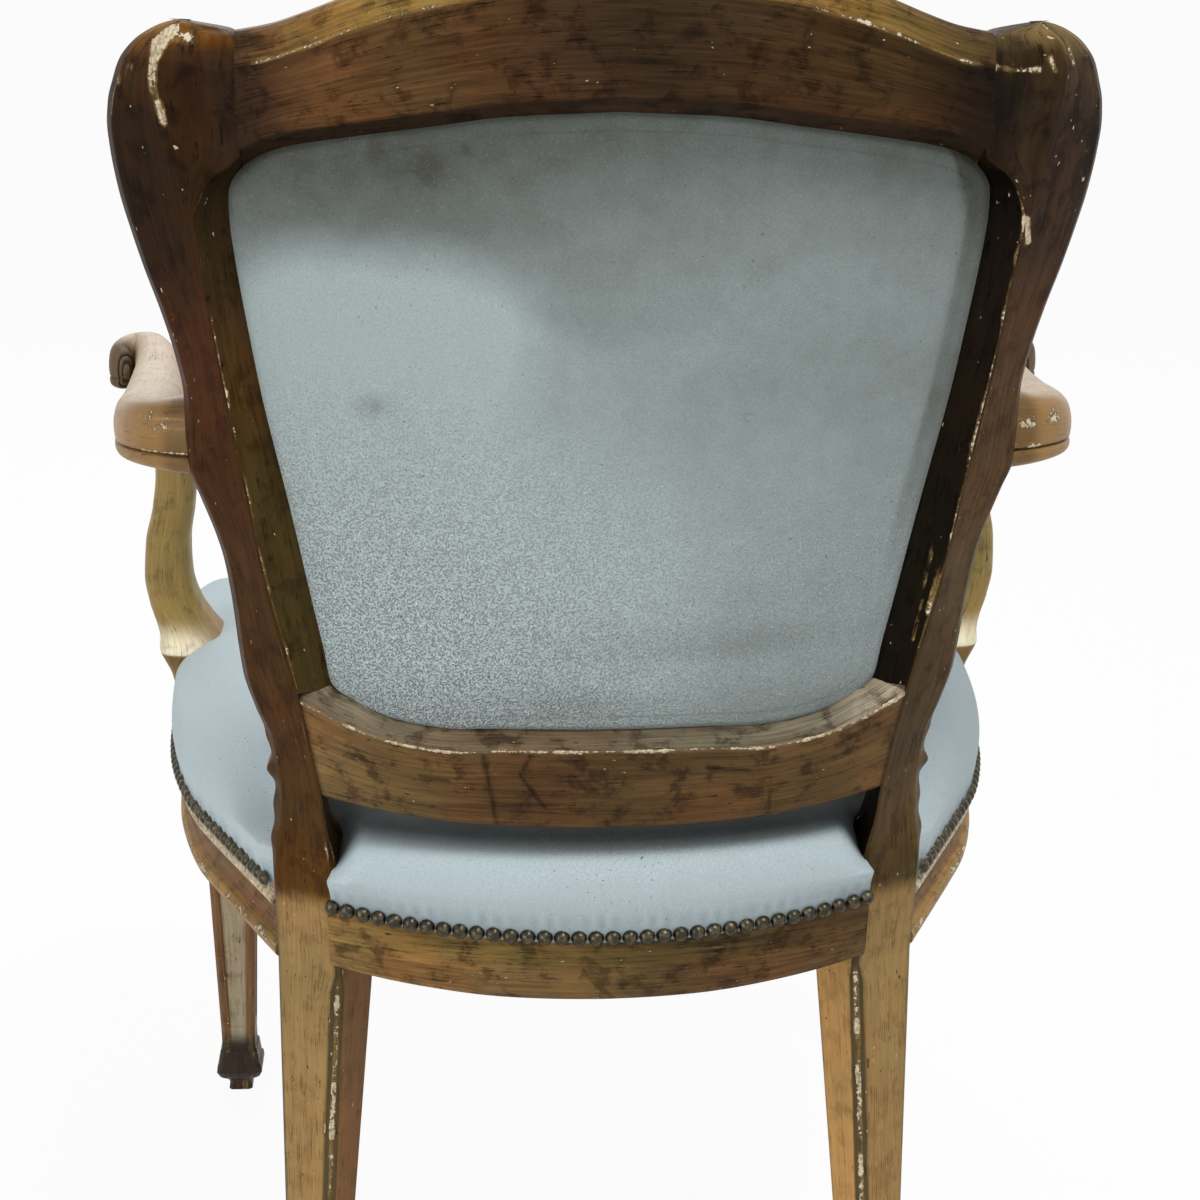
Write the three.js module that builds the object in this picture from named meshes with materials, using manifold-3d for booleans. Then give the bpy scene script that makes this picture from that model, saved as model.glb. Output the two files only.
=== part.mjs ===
// Giltwood open armchair with a leather seat and back.
// Millimetres, +Z up. The sitter faces -Y, and +X is the sitter's left.
// The feet stand on z = 0, under the middle of the chair.

import * as THREE from 'three';
import { mergeVertices } from 'three/addons/utils/BufferGeometryUtils.js';
import Module from 'manifold-3d';

const wasm = await Module();
wasm.setup();

// Clearances
const gap = 0.3;
const tenonGap = 0.25;

// The hollow, raked back: every rear face of the frame lies on one leaning cone.
const rearRailY = 225;
const railBottomZ = 347;
const backRake = 0.19;
const seatBackRadius = 370;
const backRadiusGrowth = 0.3;

// Seat frame
const railTopZ = 404;
const railThickness = 28;
const mouldingDepth = 8;

// Back frame, as depths in front of the rear faces
const panelDepth = 19.5;
const ledgeWidth = 9;
const ledgeFront = 30;
const frameDepth = 44;
const stileTopZ = 947;
const crestJointX = 202;
const crestJointZ = 858;
const lowerJointZ = 552;

// Legs
const rearLegTurn = THREE.MathUtils.degToRad(28);
const rearLegCorner = new THREE.Vector2(208.4, 159.3);
const legFaceX = 187;
const legTopWidth = 48;
const seatBlockHalf = 23;
const legFootWidth = 28.5;
const legFootZ = 52;
const rearLegRake = 0.05;
const frontLegCentre = new THREE.Vector2(280, -330);
const frontRailY = -367.5;
const frontRailBow = 14.5;

// The middle of the chair's depth stands over the origin.
const depthMiddle = -15.3;

// Leather and stuffing
const leather = 1.7;
const seatCrown = 481;
const webbingThickness = 1.4;
const webbingWidth = 56;

// Curves

// A smooth rising or falling curve through [at, value] pairs, flat past both ends.
function through(pairs) {
  const last = pairs.length - 1;
  const steps = pairs.slice(1).map(([at, value], i) => (value - pairs[i][1]) / (at - pairs[i][0]));
  const slopes = pairs.map((pair, i) => {
    if (i === 0) return steps[0];
    if (i === last) return steps[last - 1];
    const before = steps[i - 1];
    const after = steps[i];
    return before * after <= 0 ? 0 : (2 * before * after) / (before + after);
  });
  return (at) => {
    if (at <= pairs[0][0]) return pairs[0][1];
    if (at >= pairs[last][0]) return pairs[last][1];
    const i = pairs.findIndex(([start], k) => k < last && at >= start && at <= pairs[k + 1][0]);
    const [start, from] = pairs[i];
    const [end, to] = pairs[i + 1];
    const width = end - start;
    const t = (at - start) / width;
    return (
      (2 * t ** 3 - 3 * t ** 2 + 1) * from +
      (t ** 3 - 2 * t ** 2 + t) * width * slopes[i] +
      (3 * t ** 2 - 2 * t ** 3) * to +
      (t ** 3 - t ** 2) * width * slopes[i + 1]
    );
  };
}

function backY(x, z) {
  const radius = seatBackRadius + backRadiusGrowth * (z - railBottomZ);
  return rearRailY + backRake * (z - railBottomZ) - (radius - Math.sqrt(radius ** 2 - x ** 2));
}

// A point at a depth in front of the rear face
function onBack(x, z, depth) {
  return new THREE.Vector3(x, backY(x, z) - depth, z);
}

function range(from, to, count) {
  return Array.from({ length: count + 1 }, (_, i) => from + ((to - from) * i) / count);
}

// Solids

function toSolid(vertices, triangles) {
  return new wasm.Manifold(
    new wasm.Mesh({
      numProp: 3,
      vertProperties: new Float32Array(vertices),
      triVerts: new Uint32Array(triangles),
    }),
  );
}

function fromGeometry(geometry) {
  const bare = geometry.clone();
  bare.deleteAttribute('normal');
  bare.deleteAttribute('uv');
  const merged = mergeVertices(bare);
  return toSolid(merged.attributes.position.array, merged.index.array);
}

function ringNormal(ring) {
  const normal = new THREE.Vector3();
  ring.forEach((point, i) => normal.add(point.clone().cross(ring[(i + 1) % ring.length])));
  return normal.normalize();
}

// The same outline moved outward in its own plane
function grownRing(ring, by) {
  const normal = ringNormal(ring);
  return ring.map((point, i) => {
    const before = point.clone().sub(ring.at(i - 1)).normalize().cross(normal);
    const after = ring[(i + 1) % ring.length].clone().sub(point).normalize().cross(normal);
    const out = before.clone().add(after).normalize();
    return point.clone().addScaledVector(out, by / Math.max(out.dot(before), 0.5));
  });
}

function capTriangles(ring) {
  const normal = ringNormal(ring);
  const across = ring[1].clone().sub(ring[0]).projectOnPlane(normal).normalize();
  const up = normal.clone().cross(across);
  const flat = ring.map((point) => new THREE.Vector2(point.dot(across), point.dot(up)));
  return THREE.ShapeUtils.triangulateShape(flat, []);
}

function signedVolume(points, triangles) {
  return triangles.reduce((sum, [a, b, c]) => {
    return sum + points[a].dot(points[b].clone().cross(points[c])) / 6;
  }, 0);
}

// A closed solid through outlines that have the same number of points
function loft(rings, grow = 0) {
  const outlines = grow ? rings.map((ring) => grownRing(ring, grow)) : rings;
  const size = outlines[0].length;
  const points = outlines.flat();
  const triangles = [];
  for (let r = 0; r + 1 < outlines.length; r += 1) {
    for (let i = 0; i < size; i += 1) {
      const next = (i + 1) % size;
      const [a, b] = [r * size + i, r * size + next];
      triangles.push([a, b, b + size], [a, b + size, a + size]);
    }
  }
  const top = (outlines.length - 1) * size;
  const bottomCap = capTriangles(outlines[0]);
  const topCap = capTriangles(outlines.at(-1));
  triangles.push(...bottomCap.map(([a, b, c]) => [c, b, a]));
  triangles.push(...topCap.map(([a, b, c]) => [top + a, top + b, top + c]));
  const outward = signedVolume(points, triangles) > 0;
  const facing = outward ? triangles : triangles.map(([a, b, c]) => [a, c, b]);
  return toSolid(
    points.flatMap((point) => point.toArray()),
    facing.flat(),
  );
}

// A solid whose outlines shrink to one point at each end of the list. Its quads are split the same
// way outside and inside, so that one layer fits under another.
function dome(outer, outerTip, inner, innerTip) {
  const size = outer[0].length;
  const rings = [...outer.toReversed(), ...inner];
  const points = [outerTip, ...rings.flat(), innerTip];
  const triangles = [];
  for (let i = 0; i < size; i += 1) {
    const next = (i + 1) % size;
    triangles.push([0, 1 + i, 1 + next]);
    for (let r = 0; r + 1 < rings.length; r += 1) {
      const a = 1 + r * size + i;
      const b = 1 + r * size + next;
      if (r + 1 < outer.length) triangles.push([a, a + size, b], [b, a + size, b + size]);
      else triangles.push([a, b + size, b], [a, a + size, b + size]);
    }
    const last = 1 + (rings.length - 1) * size;
    triangles.push([points.length - 1, last + next, last + i]);
  }
  const outward = signedVolume(points, triangles) > 0;
  const facing = outward ? triangles : triangles.map(([a, b, c]) => [a, c, b]);
  return toSolid(
    points.flatMap((point) => point.toArray()),
    facing.flat(),
  );
}

function mirrorRings(rings) {
  return rings.map((ring) => ring.map((point) => new THREE.Vector3(-point.x, point.y, point.z)));
}

function block(centre, size, turn = 0, grow = 0) {
  const geometry = new THREE.BoxGeometry(...size.map((side) => side + 2 * grow));
  geometry.rotateZ(turn);
  geometry.translate(...centre);
  return fromGeometry(geometry);
}

// A tenon and the mortise that it enters, at one place
function tenon(centre, size, turn = 0) {
  return {
    tongue: block(centre, size, turn),
    mortise: block(centre, size, turn, tenonGap),
  };
}

// Rear posts

const outerEdge = through([
  [410, 209], [470, 203], [511, 206], [530, 213], [555, 220], [607, 224.5], [630, 227.5],
  [646, 231.5], [670, 240], [690, 247], [734, 246], [758, 249.5], [785, 256.5], [808, 264],
  [831, 270.5], [854, 276], [876, 279], [890, 279.5], [910, 276], [922, 271], [933, 262],
  [942, 248], [947, 240],
]);
const ridgeEdge = through([
  [410, 168], [475, 172], [543, 183], [577, 190], [612, 198], [641, 203.5], [677, 208.5],
  [735, 217.5], [774, 223], [820, 228.5], [841, 231], [858, 225], [868, 217], [877, 205], [880, 202],
]);
const faceEdge = through([
  [410, 169.5], [475, 173.5], [543, 184.5], [612, 200], [677, 210], [735, 219], [820, 230],
  [841, 233.5], [869, 238], [900, 243.5], [920, 244], [938, 238], [947, 230],
]);
const panelEdge = through([
  [410, 151], [475, 154], [552, 164], [580, 170], [612, 177], [641, 182], [675, 188.5],
  [736, 201], [772, 206.5], [820, 212], [845, 213], [859, 211], [871, 204], [878, 193],
]);

// How far the top edge of the frame is rounded off, by the height left above
const topRounding = through([[0, 15], [3, 9], [8, 4.5], [17, 0]]);
const frontRounding = through([[0, 30], [2, 36], [6, 41], [10, 42], [14, 40], [22, 39]]);

// The leg splays back below the seat rails, and its block leans with the back above them.
function legCorners(z) {
  const width = legWidth(Math.min(z, railBottomZ));
  const drop = Math.max(railBottomZ - z, 0);
  const lean = z > railBottomZ ? backY(legFaceX, z) - backY(legFaceX, railBottomZ) : 0;
  const outer = new THREE.Vector2(rearLegCorner.x, rearLegCorner.y + rearLegRake * drop + lean);
  const along = new THREE.Vector2(-Math.cos(rearLegTurn), Math.sin(rearLegTurn));
  const inward = new THREE.Vector2(-Math.sin(rearLegTurn), -Math.cos(rearLegTurn));
  const rear = outer.clone().addScaledVector(along, width);
  const front = outer.clone().addScaledVector(inward, width);
  const inner = rear.clone().addScaledVector(inward, width);
  return [rear, inner, front, outer];
}

function legWidth(z) {
  return THREE.MathUtils.mapLinear(z, legFootZ, railBottomZ, legFootWidth, legTopWidth);
}

// Sixteen points round a four-cornered leg, in the order of the stile's outline
function squareRing([rear, inner, front, outer], chamfer, z) {
  const side = rear.distanceTo(inner);
  const cut = chamfer / side;
  const points = [
    [rear, inner, cut], [rear, inner, 0.5], [rear, inner, 1 - cut], [inner, front, cut],
    [inner, front, 0.3], [inner, front, 0.45], [inner, front, 0.6], [inner, front, 0.75],
    [inner, front, 1 - cut], [front, outer, cut], [front, outer, 0.33], [front, outer, 0.66],
    [front, outer, 1 - cut], [outer, rear, cut], [outer, rear, 1 - cut],
  ];
  return points.map(([from, to, t]) => {
    const at = from.clone().lerp(to, t);
    return new THREE.Vector3(at.x, at.y, z);
  });
}

// Inner face of the post where a rail of the back butts against it
function postJoint(z) {
  if (z < lowerJointZ) return ridgeEdge(z);
  return z > crestJointZ ? crestJointX + gap : 0;
}

// A moulded stile: ridge at the back, sunk rebates for the leather, a cove on the front
function stileRing(z) {
  const outer = outerEdge(z);
  const ridge = ridgeEdge(z);
  const face = faceEdge(z);
  const joint = postJoint(z);
  const panel = Math.max(panelEdge(z), joint);
  const ledge = Math.max(panel - ledgeWidth, joint);
  const sight = Math.max(panelEdge(z) + 6, joint);
  const top = stileTopZ + 2 - z;
  const rear = z > 900 ? topRounding(top) : 0;
  const front = z > 900 ? frontRounding(top) : frameDepth;
  const bead = Math.min(front, 41);
  const outline = [
    [Math.max(ridge, joint), rear], [panel, panelDepth], [ledge, panelDepth + 0.3],
    [ledge, ledgeFront], [sight, ledgeFront + 0.4], [sight + 0.5, bead],
    [sight + 4, front], [sight + 9, front - 1.5], [(sight + outer) / 2 + 2, front - 6],
    [outer - 10, front - 2], [outer - 5, front], [outer - 0.5, front - 7], [outer, 18],
    [outer - 4, 10 + rear / 3], [face, rear],
  ];
  return outline.map(([x, depth]) => onBack(x, z, depth));
}

function blendRings(from, to, t) {
  return from.map((point, i) => point.clone().lerp(to[i], t));
}

const footOutline = [
  [0, 20], [6, 18.5], [9.5, 20.5], [15, 34], [20, 38.5], [25, 37.5], [27, 34.5],
  [39, 31.5], [41, 28.5], [legFootZ, legFootWidth],
];

// The post at any height: its square block, then a blend into the moulded stile
function postRing(z) {
  const blockTopZ = railTopZ + 1;
  const stileBaseZ = 467;
  const t = THREE.MathUtils.smoothstep(z, blockTopZ, stileBaseZ);
  if (t === 0) return squareRing(legCorners(z), 3.5, z);
  return t === 1 ? stileRing(z) : blendRings(squareRing(legCorners(z), 3.5, z), stileRing(z), t);
}

function rearPostRings() {
  const foot = footOutline.map(([z, width]) => {
    const [rear, inner, front, outer] = legCorners(z);
    const centre = rear.clone().add(front).multiplyScalar(0.5);
    const scale = width / legWidth(z);
    const corners = [rear, inner, front, outer].map((at) => centre.clone().lerp(at, scale));
    return squareRing(corners, 2, z);
  });
  const heights = [
    railBottomZ, 376, 405, ...range(417, 457, 4), 467, 495, 523,
    lowerJointZ - 0.2, lowerJointZ + 0.2, ...range(580, 850, 9),
    crestJointZ - 0.2, crestJointZ + 0.2, 868, 877, 890, 905, 918, 928, 936, 942,
  ];
  const topRing = stileRing(stileTopZ - 1.5).map((point) => point.clone().setZ(stileTopZ));
  return [...foot, ...heights.map(postRing), topRing];
}

// Rails across the back

const crestTop = through([
  [0, 990], [40, 988.5], [80, 983], [110, 976], [141, 966], [165, 956.5], [185, 949.5], [202, stileTopZ],
]);
const crestOpening = through([
  [0, 906], [59, 903], [100, 897], [130, 892.5], [158, 888], [175, 885], [190, 880], [202, 874],
]);
const lowerRidge = through([
  [0, 526], [60, 525.5], [100, 523], [140, 527], [165, 535], [183, 543], [200, 551],
]);
const lowerPanelEdge = through([
  [0, 534.5], [62, 534], [96, 532.5], [133, 537], [150, 545], [164, 554], [185, 566],
]);
const lowerUnderside = through([[0, 471.5], [100, 472.5], [150, 476], [176, 479], [200, 482]]);

function crestRing(x) {
  const side = Math.abs(x);
  const top = crestTop(side);
  const opening = crestOpening(side);
  return [
    [opening + 10, 0], [top - 17, 0], [top - 8, 4.5], [top - 3, 9], [top, 15], [top, 30],
    [top - 2, 36], [top - 6, 41], [top - 10, 42], [top - 16, 39],
    [opening + 20, 39], [opening + 14, 42.5], [opening + 9, frameDepth],
    [opening + 6.5, 41], [opening + 6, ledgeFront + 0.4], [opening - ledgeWidth, ledgeFront],
    [opening - ledgeWidth, panelDepth + 0.3], [opening, panelDepth],
  ].map(([z, depth]) => onBack(x, z, depth));
}

function lowerRailRing(x) {
  const side = Math.abs(x);
  const panel = lowerPanelEdge(side);
  const bottom = lowerUnderside(side);
  return [
    [lowerRidge(side), 0], [panel, panelDepth], [panel + ledgeWidth, panelDepth + 0.3],
    [panel + ledgeWidth, ledgeFront], [panel - 6, ledgeFront + 0.4], [panel - 7, 40],
    [panel - 11, 42], [panel - 17, 40], [(panel + bottom) / 2 - 6, 36], [bottom + 12, 40],
    [bottom + 6, 41.5], [bottom + 1, 37], [bottom, 4], [bottom + 3, 0],
  ].map(([z, depth]) => onBack(x, z, depth));
}

const rearRailUnderside = through([[0, 343.5], [60, 344], [110, 346.5], [170, 351.5], [200, 355]]);

function rearRailRing(x) {
  const bottom = rearRailUnderside(Math.abs(x));
  return [
    [bottom + 3, 2.2], [bottom + 8, 0.4], [bottom + 16, 0], [railTopZ - 2, 0], [railTopZ, 2],
    [railTopZ, railThickness], [bottom + 1, railThickness], [bottom, railThickness - 2],
    [bottom, 8],
  ].map(([z, depth]) => onBack(x, z, depth));
}

// Seat rails in plan: the outer line of the left side, from the rear post to the front leg
const sideLine = new THREE.CatmullRomCurve3(
  [
    [202, 165], [231, 101], [249, 61], [267.5, 17], [280, -28], [287.5, -66],
    [292, -104], [295, -145], [297.5, -190], [300.5, -250], [302.5, -327],
  ].map(([x, y]) => new THREE.Vector3(x, y, 0)),
);

function frontLineY(x) {
  return frontRailY + frontRailBow * (Math.abs(x) / 256) ** 2;
}

const frontLine = new THREE.CatmullRomCurve3(
  range(272, -272, 8).map((x) => new THREE.Vector3(x, frontLineY(x), 0)),
);

// The moulded outer face of a seat rail as [height, distance inward]
const railMoulding = [
  [railTopZ - 1, 1], [railTopZ - 3, 0], [392, 0], [388.5, 2], [380, 5.5],
  [371, mouldingDepth], [363, 5], [360, 2], [358.5, -1.2], [355, -3], [350.5, -2], [348, 1],
];

function mouldedRailRings(line, from, to, count) {
  return range(from, to, count).map((t) => {
    const at = line.getPointAt(t);
    const ahead = line.getTangentAt(t);
    const inward = new THREE.Vector3(-ahead.y, ahead.x, 0).negate();
    const outer = railMoulding.map(([z, depth]) => [z, depth]);
    const section = [
      ...outer, [347, 5], [347, railThickness - 2], [349, railThickness], [railTopZ, railThickness],
      [railTopZ, 2],
    ];
    return section.map(([z, depth]) => at.clone().addScaledVector(inward, depth).setZ(z));
  });
}

// Front legs

// The block is moulded on its outer and front faces, and square where the rails meet it.
function frontLegRings() {
  const { x, y } = frontLegCentre;
  const ring = (width, chamfer, z, hidden = width / 2) => {
    const half = width / 2;
    const corners = [[-hidden, hidden], [-hidden, -half], [half, -half], [half, hidden]];
    return squareRing(corners.map(([dx, dy]) => new THREE.Vector2(x + dx, y + dy)), chamfer, z);
  };
  const foot = footOutline.map(([z, width]) => ring(width, 2, z));
  const shaft = [ring(legWidth(342), 3, 342)];
  const block = [[345, 42], [350.5, 46], [355, 48], [358.5, 45], [360, 39.5],
    [371, 31], [382, 35], [392, 2 * seatBlockHalf], [railTopZ, 2 * seatBlockHalf]];
  return [...foot, ...shaft, ...block.map(([z, width]) => ring(width, 5, z, seatBlockHalf))];
}

// A sunk panel in each face of a front leg
function frontLegPanels() {
  const { x, y } = frontLegCentre;
  const panelBottomZ = 62;
  const panelTopZ = 330;
  const border = 7;
  const sink = 1.3;
  return [0, 1, 2, 3].map((quarter) => {
    const rings = [panelBottomZ, panelTopZ].map((z) => {
      const half = legWidth(z) / 2;
      const reach = half - border;
      return [[-reach, half - sink], [reach, half - sink], [reach, half + 3], [-reach, half + 3]]
        .map(([a, b]) => new THREE.Vector3(a, b, z).applyAxisAngle(
          new THREE.Vector3(0, 0, 1), (quarter * Math.PI) / 2,
        ))
        .map((point) => point.add(new THREE.Vector3(x, y, 0)));
    });
    return loft(rings);
  });
}

// Arms

// Each station is the centre of the arm, then its width and height.
const armStations = [
  [224, 192, 706, 40, 50], [238, 190, 706, 38, 47], [251, 185, 705, 36, 44],
  [263, 174, 703, 35, 41], [272.5, 156, 700, 36, 39], [279, 133, 697, 36, 38],
  [282, 104, 694, 38, 37], [283, 72, 691, 39, 36], [284.5, 38, 688.5, 39, 36],
  [287, 2, 686.5, 38, 35], [290, -34, 685.5, 35, 35], [292.5, -68, 685.5, 33, 36],
  [296.5, -96, 685.5, 30, 37.5],
  [301, -116, 685.5, 27, 38], [307, -130, 685.5, 25, 37], [315, -133, 685, 23, 36],
  [321.5, -127, 684, 20.5, 34], [324.5, -117, 683, 17, 31], [321, -108.5, 681.5, 13, 27],
];
const armLine = new THREE.CatmullRomCurve3(armStations.map(([x, y, z]) => new THREE.Vector3(x, y, z)));

// The arm's outline: a soft top, and a bead with a quirk along the bottom
const armOutline = [
  [0, 0.5], [0.26, 0.48], [0.42, 0.36], [0.5, 0.08], [0.5, -0.2], [0.45, -0.24], [0.49, -0.33],
  [0.36, -0.49], [-0.36, -0.49], [-0.49, -0.33], [-0.45, -0.24], [-0.5, -0.2], [-0.5, 0.08],
  [-0.42, 0.36], [-0.26, 0.48],
];

function armRings() {
  const last = armStations.length - 1;
  const width = through(armStations.map((station, i) => [i / last, station[3]]));
  const height = through(armStations.map((station, i) => [i / last, station[4]]));
  return range(0, 1, 26).map((t) => {
    const at = armLine.getPoint(t);
    const ahead = armLine.getTangent(t).setZ(0).normalize();
    const across = new THREE.Vector3(-ahead.y, ahead.x, 0);
    return armOutline.map(([side, rise]) => {
      return at.clone().addScaledVector(across, side * width(t)).setZ(at.z + rise * height(t));
    });
  });
}

// Arm supports: each station is height, centre x and y, width across and width along.
const supportStations = [
  [railTopZ + gap, 288, -190, 26, 50], [414, 288.5, -190, 28, 53], [426, 289.5, -190, 32, 57],
  [436, 289.5, -190, 41, 61], [443, 288.5, -190, 50, 63], [446, 288, -190, 53, 63],
  [449, 288, -190, 52.5, 62], [458, 290.5, -189.5, 47, 56], [470, 295.5, -188.5, 41.5, 50],
  [486, 301, -186, 38, 44], [510, 304.5, -179, 35.5, 39], [540, 302.5, -168, 33, 36],
  [572, 295.5, -153, 30.5, 34], [604, 291.5, -138, 29, 33], [634, 292, -124, 28, 34],
  [656, 295, -115, 27, 38], [672, 297, -109, 23, 40],
];

function supportRings() {
  return supportStations.map(([z, x, y, across, along]) => {
    return range(0, 2 * Math.PI, 14).slice(1).map((angle) => {
      const [c, s] = [Math.cos(angle), Math.sin(angle)];
      const round = (value) => Math.sign(value) * Math.abs(value) ** 0.55;
      return new THREE.Vector3(x + (round(c) * across) / 2, y + (round(s) * along) / 2, z);
    });
  });
}

// Seat outline

// An open line in plan, moved sideways to its left
function movedLine(line, by) {
  const left = line.slice(1).map((point, i) => {
    const ahead = point.clone().sub(line[i]).normalize();
    return new THREE.Vector3(-ahead.y, ahead.x, 0);
  });
  return line.map((point, i) => {
    const before = left[Math.max(i - 1, 0)];
    const after = left[Math.min(i, left.length - 1)];
    const out = before.clone().add(after).normalize();
    return point.clone().addScaledVector(out, by / Math.max(out.dot(before), 0.5));
  });
}

function mirrorPoint(point) {
  return new THREE.Vector3(-point.x, point.y, point.z);
}

// The seat follows the rear rail from post to post
const seatRear = range(-163, 163, 10).map((x) => new THREE.Vector3(x, backY(x, 402), 0));

// and then the side rails and the front rail, with rounder corners higher up.
function seatRim(z) {
  const side = [0.05, ...range(0.12, 0.96, 7)].map((t) => sideLine.getPointAt(t));
  const blockX = frontLegCentre.x + seatBlockHalf;
  const blockY = frontLegCentre.y - seatBlockHalf;
  const cut = cornerCut(z);
  const corner = [[blockX, blockY + cut], [blockX - 0.3 * cut, blockY + 0.3 * cut], [blockX - cut, blockY]];
  const front = [200, 100].map((x) => [x, frontLineY(x)]);
  const half = [...side, ...[...corner, ...front].map(([x, y]) => new THREE.Vector3(x, y, 0))];
  const middle = new THREE.Vector3(0, frontLineY(0), 0);
  return [...half, middle, ...half.toReversed().map(mirrorPoint)];
}

const cornerCut = through([[404, 4.5], [452, 26]]);
const seatMiddle = new THREE.Vector3(0, -60, 0);

// The outline moved outward, then scaled about the middle of the seat. Between the two lines it
// steps in through the body of each post, or goes straight across where it is drawn in.
function seatRing(out, scale, z) {
  const rear = movedLine(seatRear, out);
  const rim = movedLine(seatRim(z), out);
  const post = postRing(z);
  const middle = post.reduce((sum, at) => sum.add(at), new THREE.Vector3()).divideScalar(post.length);
  const round = [3, 9, 12].map((corner, i) => {
    const across = rear.at(-1).clone().lerp(rim[0], (i + 1) / 4);
    return scale === 1 ? post[corner].clone().lerp(middle, 0.3) : across;
  });
  return [...rear, ...round, ...rim, ...round.toReversed().map(mirrorPoint)].map((at) => {
    return at.clone().sub(seatMiddle).multiplyScalar(scale).add(seatMiddle).setZ(z);
  });
}

// Outer skin of the seat leather from the nails to the crown, as [outward, scale, height]
const seatSkin = [
  [3, 1, 393], [6, 1, 413], [7, 1, 424], [4, 1, 440], [-5, 1, 452], [-16, 1, 460],
  [-16, 0.74, 472], [-16, 0.4, 478.5],
];

// How far a layer under the leather lies below it, by the height of the leather
function layerDrop(z) {
  return THREE.MathUtils.smoothstep(z, 414, 460);
}

const seatUnderRings = seatSkin.map(([out, scale, z]) => {
  return seatRing(out - leather, scale, z - layerDrop(z) * leather);
});

function seatCover() {
  const outer = seatSkin.map((ring) => seatRing(...ring));
  const tip = seatMiddle.clone().setZ(seatCrown);
  return dome(outer, tip, seatUnderRings, seatMiddle.clone().setZ(seatCrown - leather));
}

// The stuffing is the space under the leather, drawn in a little.
function seatStuffing() {
  const drawIn = 0.006;
  const drop = 2;
  const [base, ...rings] = seatUnderRings.slice(1).map((ring) => {
    return ring.map((at) => {
      const middle = seatMiddle.clone().setZ(at.z);
      return at.clone().lerp(middle, drawIn).setZ(at.z - drop);
    });
  });
  const floor = seatMiddle.clone().setZ(base[0].z);
  const inner = base.map((at) => at.clone().lerp(floor, 0.3));
  const tip = seatMiddle.clone().setZ(seatCrown - leather - drop);
  return dome([base, ...rings], tip, [inner], floor);
}

const webbingZ = railTopZ + 3;
const hessianZ = webbingZ + 2.3;

function seatHessian() {
  return loft([seatRing(-8, 1, hessianZ), seatRing(-8, 1, hessianZ + 1)]);
}

// Webbing

// A strap on a surface: place(along, across, height) gives each point of its stations.
function strap(stations, place) {
  const half = webbingThickness / 2;
  const side = webbingWidth / 2;
  return loft(stations.map(([along, middle]) => [
    place(along, -side, middle - half), place(along, side, middle - half),
    place(along, side, middle + half), place(along, -side, middle + half),
  ]));
}

// Stations of a strap that goes over and under the straps that it crosses, as [along, height]
function weave(crossings, first, lift, [start, end], endHeight, step = 400) {
  const flat = webbingWidth / 2 + 3;
  const key = [[start, endHeight], [start + 12, endHeight]];
  crossings.forEach((at, i) => {
    const height = (i + first) % 2 === 0 ? lift : -lift;
    key.push([at - flat, height], [at + flat, height]);
  });
  key.push([end - 12, endHeight], [end, endHeight]);
  return key.flatMap(([along, height], i) => {
    if (i === 0) return [[along, height]];
    const [from, low] = key[i - 1];
    const count = Math.ceil((along - from) / step);
    return range(0, 1, count).slice(1).map((t) => {
      return [from + (along - from) * t, low + (height - low) * t];
    });
  });
}

const lengthwiseStraps = [-117, -39, 39, 117];
const crossStraps = [-255, -125, -38, 49];

function seatWebbing() {
  const lift = 1.1;
  const endHeight = -1.9;
  const lengthwise = lengthwiseStraps.map((x, i) => {
    const reach = Math.abs(x) + webbingWidth / 2;
    const ends = [frontLineY(reach) + 9, backY(reach, railTopZ) - 8];
    const place = (along, across, height) => {
      return new THREE.Vector3(x + across, along, webbingZ + height);
    };
    return strap(weave(crossStraps, i, lift, ends, endHeight), place);
  });
  const cross = crossStraps.map((y, i) => {
    const reach = Math.min(sideX(y + webbingWidth / 2), sideX(y - webbingWidth / 2)) - 6;
    const place = (along, across, height) => {
      return new THREE.Vector3(along, y + across, webbingZ + height);
    };
    return strap(weave(lengthwiseStraps, i + 1, lift, [-reach, reach], endHeight), place);
  });
  return { lengthwise, cross };
}

// Outer line of the side rail at a place along the seat
function sideX(y) {
  const points = sideLine.getSpacedPoints(80);
  const i = points.findIndex((point) => point.y < y);
  const [a, b] = [points[i - 1], points[i]];
  return THREE.MathUtils.mapLinear(y, a.y, b.y, a.x, b.x);
}

// Back upholstery

// Half of the back's opening at the leather, as [x, z]
const openingHalf = [
  [0, 534.5], [62, 534], [96, 532.5], [130, 536.5], [150, 544], [163, 555], [170, 580],
  [182, 641], [188.5, 675], [201, 736], [206.5, 772], [212, 820], [213, 843], [209.5, 861],
  [200, 873], [185, 881], [158, 887.5], [130, 892.5], [100, 897], [59, 903], [0, 906],
].map(([x, z]) => new THREE.Vector3(x, z, 0));
const openingMiddleZ = 715;

// The opening moved outward, then scaled about its middle, at a depth in front of the rear face
function openingRing(out, scale, depth) {
  const other = openingHalf.slice(1, -1).toReversed().map((at) => new THREE.Vector3(-at.x, at.y, 0));
  return grownRing([...openingHalf, ...other], out).map(({ x, y }) => {
    return onBack(x * scale, openingMiddleZ + (y - openingMiddleZ) * scale, depth);
  });
}

function backPanel(skin, middleDepth, thickness) {
  const tip = onBack(0, openingMiddleZ, middleDepth);
  const innerTip = onBack(0, openingMiddleZ, middleDepth + thickness);
  const outer = skin.map(([out, scale, depth]) => openingRing(out, scale, depth));
  const inner = skin.map(([out, scale, depth]) => openingRing(out, scale, depth + thickness));
  return dome(outer, tip, inner, innerTip);
}

function outsideBackCover() {
  return backPanel([
    [-0.9, 1, panelDepth - 3], [-9, 1, panelDepth - 3.6], [-9, 0.8, 14.4], [-9, 0.45, 12.4],
  ], 11.6, 1.6);
}

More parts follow.
